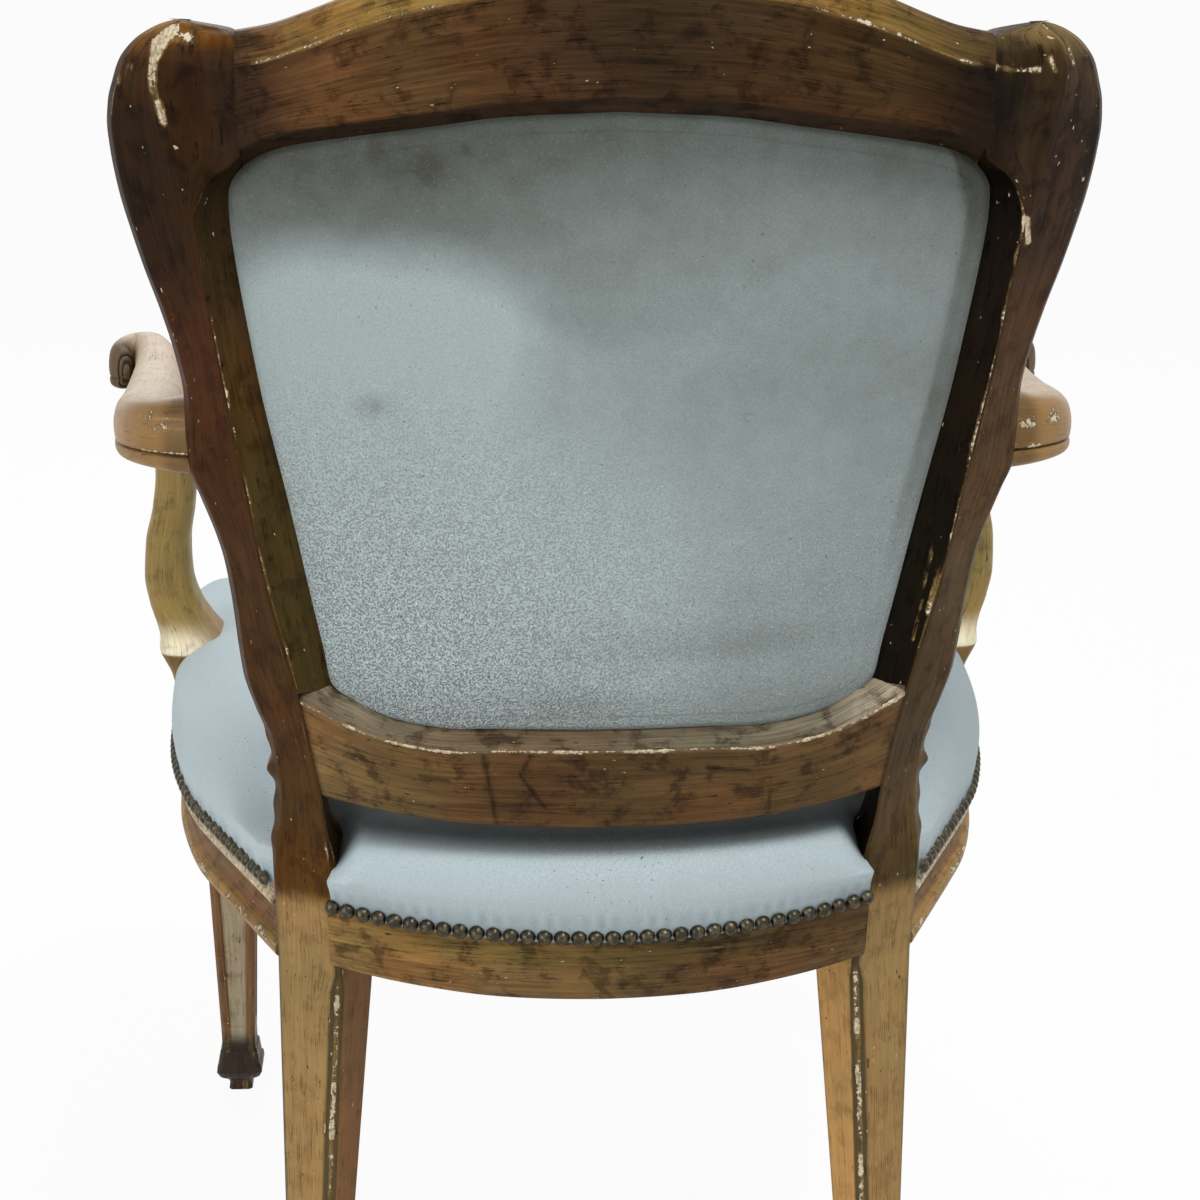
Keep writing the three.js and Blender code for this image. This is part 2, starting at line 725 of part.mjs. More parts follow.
const flatScales = [[1.6, 1], [-14, 0.8], [-14, 0.45]];

function flatSheet(depth, edge = 0) {
  return flatScales.map(([out, scale], i) => [i === 0 ? out + edge : out, scale, depth]);
}

function outsideBackLining() {
  const depth = panelDepth + 2.4;
  return backPanel(flatSheet(depth, -ledgeWidth - 6.6), depth, 0.9);
}

const backPadSkin = [
  [3.6, 1, 37], [3, 1, 44], [-2, 1, 51], [-14, 1, 58], [-14, 0.8, 63.5], [-14, 0.45, 67],
];
const padMiddle = 68.5;

function insideBackCover() {
  const outer = backPadSkin.map(([out, scale, depth]) => openingRing(out, scale, depth));
  const inner = backPadSkin.map(([out, scale, depth]) => {
    const drop = THREE.MathUtils.smoothstep(depth, 43, 57) * leather;
    return openingRing(out - leather, scale, depth - drop);
  });
  const tip = onBack(0, openingMiddleZ, padMiddle);
  return dome(outer, tip, inner, onBack(0, openingMiddleZ, padMiddle - leather));
}

const backWebbingDepth = ledgeFront + 2.9;
const backHessianDepth = backWebbingDepth + 3.6;
const backStuffingDepth = backHessianDepth + 1.5;

function insideBackStuffing() {
  const outer = backPadSkin.slice(1).map(([out, scale, depth]) => {
    const drop = THREE.MathUtils.smoothstep(depth, 43, 57) * leather + 1;
    return openingRing(out - leather - 0.8, scale, depth - drop);
  });
  const tip = onBack(0, openingMiddleZ, padMiddle - leather - 1);
  const inner = flatSheet(backStuffingDepth, -0.3).map(([out, scale, depth]) => {
    return openingRing(out, scale, depth);
  });
  return dome(outer, tip, inner, onBack(0, openingMiddleZ, backStuffingDepth));
}

function insideBackHessian() {
  return backPanel(flatSheet(backHessianDepth, -0.3), backHessianDepth, 1);
}

const uprightStraps = [-105, 0, 105];
const levelStraps = [610, 700, 790];

function backWebbing() {
  const lift = 1.4;
  const endHeight = -1.4;
  const place = (x, z, height) => onBack(x, z, backWebbingDepth + height);
  const upright = uprightStraps.map((x, i) => {
    const edge = Math.abs(x) + webbingWidth / 2;
    const ends = [lowerPanelEdge(edge) - 2, crestOpening(edge) + 3];
    const stations = weave(levelStraps, i, lift, ends, endHeight);
    return strap(stations, (along, across, height) => place(x + across, along, height));
  });
  const level = levelStraps.map((z, i) => {
    const reach = panelEdge(z - webbingWidth / 2) + 3;
    const stations = weave(uprightStraps, i + 1, lift, [-reach, reach], endHeight, 24);
    return strap(stations, (along, across, height) => place(along, z + across, height));
  });
  return { upright, level };
}

// Joints

const crestTenon = tenon([crestJointX + 9, backY(211, 915) - 22, 913], [34, 12, 34], -0.42);
const lowerTenon = tenon([183, backY(183, 505) - 23, 505], [30, 11, 28], -0.42);
const rearRailTenon = tenon([172, backY(172, 378) - 16, 378], [34, 10, 32], -0.45);
const sideRearTenon = tenon([203, 138, 378], [10, 34, 32], 0.42);
const legInnerX = frontLegCentre.x - seatBlockHalf;
const sideFrontTenon = tenon([286, frontLegCentre.y + seatBlockHalf, 378], [10, 28, 32], 0);
const frontTenon = tenon([legInnerX - 1, frontLineY(legInnerX) + 15.5, 378], [28, 10, 32], 0);
const supportTenon = tenon([285, -190, railTopZ - 8], [12, 26, 28], 0);
const handTenon = tenon([297.5, -108, 673], [12, 14, 24], 0);
const armTenon = tenon([238, 191, 706], [30, 12, 20], -0.1);

function mirrorJoint(centre, size, turn) {
  return tenon([-centre[0], centre[1], centre[2]], size, -turn);
}

const otherCrestTenon = mirrorJoint([crestJointX + 9, backY(211, 915) - 22, 913], [34, 12, 34], -0.42);
const otherLowerTenon = mirrorJoint([183, backY(183, 505) - 23, 505], [30, 11, 28], -0.42);
const otherRearRailTenon = mirrorJoint([172, backY(172, 378) - 16, 378], [34, 10, 32], -0.45);
const otherFrontTenon = mirrorJoint([legInnerX - 1, frontLineY(legInnerX) + 15.5, 378], [28, 10, 32], 0);

// Pieces

const postRings = rearPostRings();
const postCut = loft(postRings, gap);
const behindPost = new THREE.Vector3(-3, 9, 0);
const behindPostCut = loft(postRings.map((ring) => ring.map((at) => at.clone().add(behindPost))));
const otherPostCut = loft(mirrorRings(postRings), gap);
const legRings = frontLegRings();
const legCut = loft(legRings, gap);
const otherLegCut = loft(mirrorRings(legRings), gap);
const legBlock = [2 * seatBlockHalf, 2 * seatBlockHalf, 2 * (railTopZ - 375)];
const legBlockCut = block([frontLegCentre.x, frontLegCentre.y, 375], legBlock, 0, gap);
const otherLegBlockCut = block([-frontLegCentre.x, frontLegCentre.y, 375], legBlock, 0, gap);
const sideRings = mouldedRailRings(sideLine, 0, 1, 14);
const sideCut = loft(sideRings, gap);
const otherSideCut = loft(mirrorRings(sideRings), gap);
const frontRings = mouldedRailRings(frontLine, 0, 1, 10);
const frontCut = loft(frontRings, gap);
const rearRailRings = range(-186, 186, 16).map(rearRailRing);
const rearRailCut = loft(rearRailRings, gap);
const lowerRailRings = range(-190, 190, 20).map(lowerRailRing);
const supportCut = loft(supportRings(), gap);
const otherSupportCut = loft(mirrorRings(supportRings()), gap);
const armCut = loft(armRings(), gap);

function joined(body, joints) {
  return joints.reduce((solid, joint) => solid.add(joint.tongue), body);
}

function mortised(body, joints) {
  return joints.reduce((solid, joint) => solid.subtract(joint.mortise), body);
}

const rearPost = mortised(loft(postRings), [
  crestTenon, lowerTenon, rearRailTenon, sideRearTenon, armTenon,
]);
const crestRail = joined(loft(range(-crestJointX, crestJointX, 20).map(crestRing)), [
  crestTenon, otherCrestTenon,
]);
const lowerJoint = [[460, 0], [505, 0], [lowerJointZ - 1, 0], [lowerJointZ, 6], [lowerJointZ + 10, 6]];
const lowerJointRings = lowerJoint.map(([z, inset]) => {
  const joint = ridgeEdge(z) - gap - inset;
  return [[joint, 100], [260, 100], [260, 320], [joint, 320]]
    .map(([x, y]) => new THREE.Vector3(x, y, z));
});
const lowerRailEnds = [
  postCut, otherPostCut, loft(lowerJointRings), loft(mirrorRings(lowerJointRings)),
];
const lowerBackRail = joined(
  lowerRailEnds.reduce((rail, end) => rail.subtract(end), loft(lowerRailRings)),
  [lowerTenon, otherLowerTenon],
);
const rearSeatRail = joined(
  loft(rearRailRings).subtract(postCut).subtract(otherPostCut),
  [rearRailTenon, otherRearRailTenon],
);
const sideSeatRail = mortised(
  joined(
    [postCut, behindPostCut, legCut, legBlockCut].reduce(
      (rail, end) => rail.subtract(end), loft(sideRings),
    ),
    [sideRearTenon, sideFrontTenon],
  ),
  [supportTenon],
);
const frontSeatRail = joined(
  [legCut, otherLegCut, legBlockCut, otherLegBlockCut].reduce(
    (rail, end) => rail.subtract(end), loft(frontRings),
  ),
  [frontTenon, otherFrontTenon],
);
const frontLeg = frontLegPanels().reduce(
  (leg, panel) => leg.subtract(panel),
  mortised(loft(legRings), [sideFrontTenon, frontTenon]),
);
const arm = mortised(joined(loft(armRings()).subtract(postCut), [armTenon]), [handTenon]);
const armSupport = joined(loft(supportRings()).subtract(armCut), [supportTenon, handTenon]);

function cornerBlock(corners, cuts) {
  const bottomZ = 354;
  const topZ = 386;
  const rings = [bottomZ, topZ].map((z) => corners.map(([x, y]) => new THREE.Vector3(x, y, z)));
  return cuts.reduce((solid, cut) => solid.subtract(cut), loft(rings));
}

const rearCornerBlock = cornerBlock([[62, 208], [178, 150], [252, 14]], [
  rearRailCut, sideCut, postCut,
]);
const frontCornerBlock = cornerBlock([[285, -239], [285, -343], [186, -345]], [
  frontCut, sideCut, legCut,
]);

// What the seat's upholstery is cut to: what stands up through it, and the rails under it
const seatCuts = [
  postCut, otherPostCut, supportCut, otherSupportCut, rearRailCut, sideCut, otherSideCut,
];

function fittedToFrame(layer) {
  return seatCuts.reduce((left, cut) => left.subtract(cut), layer);
}

const webbing = seatWebbing();
const backStraps = backWebbing();

// Materials

const gilt = new THREE.MeshStandardMaterial({ color: 0x6b4f2c, roughness: 0.5, metalness: 0.35 });
const paleGilt = new THREE.MeshStandardMaterial({ color: 0xa8875a, roughness: 0.4, metalness: 0.4 });
const beech = new THREE.MeshStandardMaterial({ color: 0xa97f52, roughness: 0.8, metalness: 0 });
const seatLeather = new THREE.MeshStandardMaterial({ color: 0xb3c1c6, roughness: 0.85, metalness: 0 });
const backLeather = new THREE.MeshStandardMaterial({ color: 0x7f8a88, roughness: 0.85, metalness: 0 });
const jute = new THREE.MeshStandardMaterial({ color: 0xb59a6c, roughness: 0.95, metalness: 0 });
const linen = new THREE.MeshStandardMaterial({ color: 0xc4b28c, roughness: 0.95, metalness: 0 });
const horsehair = new THREE.MeshStandardMaterial({ color: 0x3b3129, roughness: 1, metalness: 0 });

// Assembly

function toGeometry(solid) {
  const { vertProperties, triVerts, numProp } = solid.getMesh();
  const geometry = new THREE.BufferGeometry();
  geometry.setAttribute('position', new THREE.BufferAttribute(vertProperties, numProp));
  geometry.setIndex(new THREE.BufferAttribute(triVerts, 1));
  geometry.computeVertexNormals();
  return geometry;
}

const chair = new THREE.Group();
chair.position.y = -depthMiddle;

function place(name, solid, material, side = 1) {
  const mesh = new THREE.Mesh(toGeometry(solid), material);
  mesh.name = name;
  mesh.scale.x = side;
  chair.add(mesh);
}

for (const [side, sign] of [['left', 1], ['right', -1]]) {
  place(`rear_post_${side}`, rearPost, gilt, sign);
  place(`front_leg_${side}`, frontLeg, paleGilt, sign);
  place(`seat_rail_${side}`, sideSeatRail, gilt, sign);
  place(`arm_${side}`, arm, paleGilt, sign);
  place(`arm_support_${side}`, armSupport, paleGilt, sign);
  place(`rear_corner_block_${side}`, rearCornerBlock, beech, sign);
  place(`front_corner_block_${side}`, frontCornerBlock, beech, sign);
}

place('crest_rail', crestRail, gilt);
place('lower_back_rail', lowerBackRail, gilt);
place('seat_rail_rear', rearSeatRail, gilt);
place('seat_rail_front', frontSeatRail, gilt);

webbing.lengthwise.forEach((solid, i) => place(`seat_webbing_lengthwise_${i + 1}`, solid, jute));
webbing.cross.forEach((solid, i) => place(`seat_webbing_cross_${i + 1}`, solid, jute));
place('seat_hessian', fittedToFrame(seatHessian()), linen);
place('seat_stuffing', fittedToFrame(seatStuffing()), horsehair);
place('seat_cover', fittedToFrame(seatCover()), seatLeather);

backStraps.upright.forEach((solid, i) => place(`back_webbing_upright_${i + 1}`, solid, jute));
backStraps.level.forEach((solid, i) => place(`back_webbing_level_${i + 1}`, solid, jute));
place('back_hessian', insideBackHessian(), linen);
place('back_stuffing', insideBackStuffing(), horsehair);
place('inside_back_cover', insideBackCover(), seatLeather);
place('outside_back_lining', outsideBackLining(), linen);
place('outside_back_cover', outsideBackCover(), backLeather);

export default chair;
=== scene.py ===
# Giltwood open armchair with a leather seat and back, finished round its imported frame.
import bpy
import math
import numpy as np
from mathutils import Matrix, Vector


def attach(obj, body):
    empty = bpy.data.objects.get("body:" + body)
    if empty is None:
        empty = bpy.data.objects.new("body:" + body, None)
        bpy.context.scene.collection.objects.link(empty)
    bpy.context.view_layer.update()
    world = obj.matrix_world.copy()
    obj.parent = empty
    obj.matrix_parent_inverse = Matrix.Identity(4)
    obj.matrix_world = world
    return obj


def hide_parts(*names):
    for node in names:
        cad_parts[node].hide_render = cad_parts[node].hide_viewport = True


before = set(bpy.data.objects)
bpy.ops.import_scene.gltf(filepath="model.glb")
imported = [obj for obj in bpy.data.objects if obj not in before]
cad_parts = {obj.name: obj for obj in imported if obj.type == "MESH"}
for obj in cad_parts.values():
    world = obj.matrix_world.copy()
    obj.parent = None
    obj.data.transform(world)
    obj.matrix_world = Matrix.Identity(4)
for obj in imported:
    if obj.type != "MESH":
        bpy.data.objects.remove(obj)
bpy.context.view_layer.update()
print("frame loaded:", len(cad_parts), "nodes")

mm = 0.001
frameForward = 15.3  # from the chair's drawing to the frame along Y, mm

# Sizes of the chair that its pieces share, mm
chair = {
    "rearRailY": 225, "railBottom": 347, "railTop": 404, "railThickness": 28,
    "rake": 0.19, "backRadius": 370, "radiusGrowth": 0.3,
    "panelDepth": 19.5, "ledgeWidth": 9, "ledgeFront": 30, "frameDepth": 44,
    "crestJointX": 202, "stileTop": 947, "blockHalf": 23,
    "frontLeg": (280, -330), "frontRailY": -367.5, "frontBow": 14.5,
}


# Curves

# A monotone cubic through [at, value] pairs, flat past both ends, for whole arrays.
def curveThrough(pairs):
    at, value = np.array(pairs, float).T
    step = np.diff(value) / np.diff(at)
    slope = np.concatenate([step[:1], np.zeros(len(at) - 2), step[-1:]])
    rising = step[:-1] * step[1:] > 0
    total = np.where(rising, step[:-1] + step[1:], 1)
    slope[1:-1] = np.where(rising, 2 * step[:-1] * step[1:] / total, 0)

    def curve(x):
        x = np.clip(np.asarray(x, float), at[0], at[-1])
        i = np.clip(np.searchsorted(at, x, side="right") - 1, 0, len(at) - 2)
        width = at[i + 1] - at[i]
        t = (x - at[i]) / width
        fromPart = (2 * t**3 - 3 * t**2 + 1) * value[i] + (t**3 - 2 * t**2 + t) * width * slope[i]
        toPart = (3 * t**2 - 2 * t**3) * value[i + 1] + (t**3 - t**2) * width * slope[i + 1]
        return fromPart + toPart
    return curve


# A line through points at fractional indices: a cubic per stretch, with end slopes taken from the
# neighbours by the square roots of their distances.
def lineThrough(points, at):
    points = np.asarray(points, float)
    ends = [2 * points[:1] - points[1:2], points, 2 * points[-1:] - points[-2:-1]]
    padded = np.concatenate(ends)
    i = np.clip(np.floor(at).astype(int), 0, len(points) - 2)
    p0, p1, p2, p3 = (padded[i + k] for k in range(4))
    w = (at - i)[:, None]
    d0, d1, d2 = (np.linalg.norm(b - a, axis=1)[:, None] ** 0.5
                  for a, b in ((p0, p1), (p1, p2), (p2, p3)))
    out = ((p1 - p0) / d0 - (p2 - p0) / (d0 + d1) + (p2 - p1) / d1) * d1
    into = ((p2 - p1) / d1 - (p3 - p1) / (d1 + d2) + (p3 - p2) / d2) * d1
    return p1 + out * w + (3 * (p2 - p1) - 2 * out - into) * w**2 \
        + (2 * (p1 - p2) + out + into) * w**3


# The same line at even distances, as fractions of its length, and its directions
def evenLine(points, fractions):
    dense = lineThrough(points, np.linspace(0, len(points) - 1, 900))
    run = np.concatenate([[0], np.cumsum(np.linalg.norm(np.diff(dense, axis=0), axis=1))])
    at = np.asarray(fractions) * run[-1]
    place = np.stack([np.interp(at, run, dense[:, k]) for k in range(dense.shape[1])], 1)
    ahead = np.gradient(place, axis=0)
    return place, ahead / np.linalg.norm(ahead, axis=1)[:, None]


def smoothStep(x, low, high):
    t = np.clip((np.asarray(x, float) - low) / (high - low), 0, 1)
    return t * t * (3 - 2 * t)


def bell(x, middle, width):
    return np.exp(-((np.asarray(x, float) - middle) / width) ** 2)


# The rear faces lie on one leaning cone: an arc in plan whose radius grows with height.
def backY(x, z):
    radius = chair["backRadius"] + chair["radiusGrowth"] * (z - chair["railBottom"])
    lean = chair["rake"] * (z - chair["railBottom"])
    return chair["rearRailY"] + lean - (radius - np.sqrt(radius**2 - x**2))


def onBack(x, z, depth):
    x, z, depth = np.broadcast_arrays(x, z, depth)
    return np.stack([x, backY(x, z) - depth, z], -1).astype(float)


# Colours

def linear(code):
    channels = np.array([int(code[i:i + 2], 16) for i in (0, 2, 4)]) / 255
    return np.where(channels <= 0.04045, channels / 12.92, ((channels + 0.055) / 1.055) ** 2.4)


def rgba(code):
    return (*linear(code), 1.0)


# A colour that changes along a piece: [at, code] pairs, mixed in straight stretches.
def colourAlong(pairs, at):
    codes = np.stack([linear(code) for _, code in pairs])
    marks = [mark for mark, _ in pairs]
    return np.stack([np.interp(at, marks, codes[:, k]) for k in range(3)], -1)


# How near points are to a drawn line in the upright plane: exp(-(distance / width)^2)
def strokeMask(points, line, width):
    x, z = points[..., 0], points[..., 2]
    nearest = np.full(x.shape, 1e6)
    for (x0, z0), (x1, z1) in zip(line, line[1:]):
        dx, dz = x1 - x0, z1 - z0
        t = np.clip(((x - x0) * dx + (z - z0) * dz) / (dx * dx + dz * dz), 0, 1)
        nearest = np.minimum(nearest, np.hypot(x - x0 - dx * t, z - z0 - dz * t))
    return np.exp(-(nearest / width) ** 2)


# Meshes

# Writes arrays of points, quads and triangles into a mesh, turns it outward by its signed volume,
# and stores each point's wear, paint and place along the grain.
def makeMesh(name, points, quads, triangles, values, sharp=48):
    split = np.concatenate([quads[:, [0, 1, 2]], quads[:, [0, 2, 3]], triangles])
    a, b, c = (points[split[:, k]] for k in range(3))
    if np.sum(a * np.cross(b, c)) < 0:
        quads, triangles = quads[:, ::-1], triangles[:, ::-1]
    mesh = bpy.data.meshes.new(name)
    corners = np.concatenate([quads.ravel(), triangles.ravel()]).astype(np.int32)
    starts = np.concatenate([np.arange(len(quads)) * 4,
                             len(quads) * 4 + np.arange(len(triangles)) * 3]).astype(np.int32)
    mesh.vertices.add(len(points))
    place = (points + [0, frameForward, 0]) * mm
    mesh.vertices.foreach_set("co", place.astype(np.float32).ravel())
    mesh.loops.add(len(corners))
    mesh.loops.foreach_set("vertex_index", corners)
    mesh.polygons.add(len(starts))
    mesh.polygons.foreach_set("loop_start", starts)
    mesh.update(calc_edges=True)
    for key, value in values.items():
        kind = "FLOAT" if value.ndim == 1 else "FLOAT_VECTOR"
        field = mesh.attributes.new(key, kind, "POINT")
        field.data.foreach_set("value" if value.ndim == 1 else "vector",
                               value.astype(np.float32).ravel())
    mesh.shade_smooth()
    mesh.set_sharp_from_angle(angle=math.radians(sharp))
    return mesh


def addPiece(name, mesh, material, nodes=()):
    piece = bpy.data.objects.new(name, mesh)
    bpy.context.scene.collection.objects.link(piece)
    mesh.materials.append(material)
    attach(piece, "root")
    if nodes:
        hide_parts(*nodes)
    return piece


# Spreads values round closed outlines with a Gaussian of so many points.
def spreadRound(values, sigma, axis=1):
    reach = max(1, math.ceil(3 * sigma))
    offsets = np.arange(-reach, reach + 1)
    weights = np.exp(-0.5 * (offsets / max(sigma, 0.2)) ** 2)
    total = sum(w * np.roll(values, o, axis=axis) for o, w in zip(offsets, weights))
    return total / weights.sum(), weights.sum()


# Points every `pitch` mm round each outline. Corners are rounded by `soft` mm, `wear` is a value
# per corner that fades over 2 mm, and `paint` is a colour per side.
def finerRings(rings, wear, paint, pitch=1.9, soft=0.8):
    count = rings.shape[1]
    ahead = np.roll(rings, -1, axis=1)
    lengths = np.linalg.norm(ahead - rings, axis=2).max(axis=0)
    parts = np.maximum(1, np.ceil(lengths / pitch)).astype(int)
    side = np.repeat(np.arange(count), parts)
    first = np.concatenate([[0], np.cumsum(parts)[:-1]])
    t = ((np.arange(len(side)) - first[side]) / parts[side])[None, :, None]
    points, _ = spreadRound(rings[:, side] * (1 - t) + ahead[:, side] * t, soft / pitch)
    marks = np.where(t[0, :, 0] == 0, np.broadcast_to(wear, rings.shape[:2])[:, side], 0)
    spread, peak = spreadRound(marks, 2.0 / pitch)
    colours = np.broadcast_to(paint, (*rings.shape[:2], 3))[:, side]
    colours, _ = spreadRound(colours, 1.4 / pitch)
    return points, np.clip(spread * peak, 0, 2), colours


# A closed surface over outlines, with a fan at each end
def ringMesh(name, points, wear, paint, seed=0.0, mirror=False, sharp=48, age=1.0):
    n, m = points.shape[:2]
    if mirror:
        points = points * [-1, 1, 1]
    at = np.arange(n * m).reshape(n, m)
    across = np.roll(at, -1, axis=1)
    quads = np.stack([at[:-1], across[:-1], across[1:], at[1:]], -1).reshape(-1, 4)
    low, high = n * m, n * m + 1
    fan = np.concatenate([
        np.stack([np.full(m, low), across[0], at[0]], -1),
        np.stack([np.full(m, high), at[-1], across[-1]], -1)])
    along = np.concatenate([[0], np.cumsum(
        np.linalg.norm(np.diff(points.mean(axis=1), axis=0), axis=1))])
    around = np.concatenate([[0], np.cumsum(
        np.linalg.norm(np.diff(points, axis=1), axis=2).mean(axis=0))])
    grain = np.stack(np.broadcast_arrays(along[:, None], around[None, :], seed * 1000.0), -1) * mm
    flat = [points.reshape(-1, 3), points[0].mean(axis=0)[None], points[-1].mean(axis=0)[None]]
    values = {
        "wear": np.concatenate([wear.ravel(), [0, 0]]),
        "paint": np.concatenate([paint.reshape(-1, 3), paint[0, :1], paint[-1, :1]]),
        "grain": np.concatenate([grain.reshape(-1, 3), grain[0, :1], grain[-1, :1]]),
        "age": np.append(np.repeat(np.broadcast_to(age, n), m), [1, 1]),
    }
    return makeMesh(name, np.concatenate(flat), quads, fan, values, sharp)


# Shader nodes

def put(tree, kind, sockets=None, **settings):
    made = tree.nodes.new("ShaderNode" + kind)
    for key, value in settings.items():
        setattr(made, key, value)
    for key, value in (sockets or {}).items():
        if isinstance(value, bpy.types.NodeSocket):
            tree.links.new(value, made.inputs[key])
        else:
            made.inputs[key].default_value = value
    return made


def noise(tree, vector, scale, detail=4.0, roughness=0.55, distortion=0.0):
    made = put(tree, "TexNoise", {"Vector": vector, "Scale": scale, "Detail": detail,
                                  "Roughness": roughness, "Distortion": distortion})
    return made.outputs["Fac"]


def stretched(tree, vector, scale):
    return put(tree, "Mapping", {"Vector": vector, "Scale": scale}).outputs["Vector"]


def ramp(tree, value, low, high, start=0.0, end=1.0):
    made = put(tree, "MapRange", {"Value": value, "From Min": low, "From Max": high,
                                  "To Min": start, "To Max": end},
               interpolation_type="SMOOTHSTEP")
    return made.outputs["Result"]


def maths(tree, operation, a, b=0.0, c=0.0):
    made = put(tree, "Math", {0: a, 1: b, 2: c}, operation=operation)
    return made.outputs[0]


def blend(tree, amount, a, b, mode="MIX"):
    made = put(tree, "Mix", {0: amount, 6: a, 7: b}, data_type="RGBA", blend_type=mode)
    return made.outputs[2]


def newGroup(name, inputs, outputs):
    tree = bpy.data.node_groups.new(name, "ShaderNodeTree")
    for label, kind, value in inputs:
        made = tree.interface.new_socket(label, in_out="INPUT", socket_type="NodeSocket" + kind)
        made.default_value = value
    for label, kind in outputs:
        tree.interface.new_socket(label, in_out="OUTPUT", socket_type="NodeSocket" + kind)
    return tree, tree.nodes.new("NodeGroupInput").outputs, tree.nodes.new("NodeGroupOutput")


def useGroup(tree, group, sockets):
    made = tree.nodes.new("ShaderNodeGroup")
    made.node_tree = group
    for key, value in sockets.items():
        if isinstance(value, bpy.types.NodeSocket):
            tree.links.new(value, made.inputs[key])
        else:
            made.inputs[key].default_value = value
    return made.outputs


def newMaterial(name):
    material = bpy.data.materials.new(name)
    material.use_nodes = True
    return material, material.node_tree, material.node_tree.nodes["Principled BSDF"]


def finishWith(tree, shader, color=None, roughness=None, metallic=None, height=None, depth=0.001):
    wires = {"Base Color": color, "Roughness": roughness, "Metallic": metallic}
    for key, value in wires.items():
        if value is not None:
            tree.links.new(value, shader.inputs[key])
    if height is not None:
        bump = put(tree, "Bump", {"Height": height, "Strength": 1.0, "Distance": depth})
        tree.links.new(bump.outputs["Normal"], shader.inputs["Normal"])


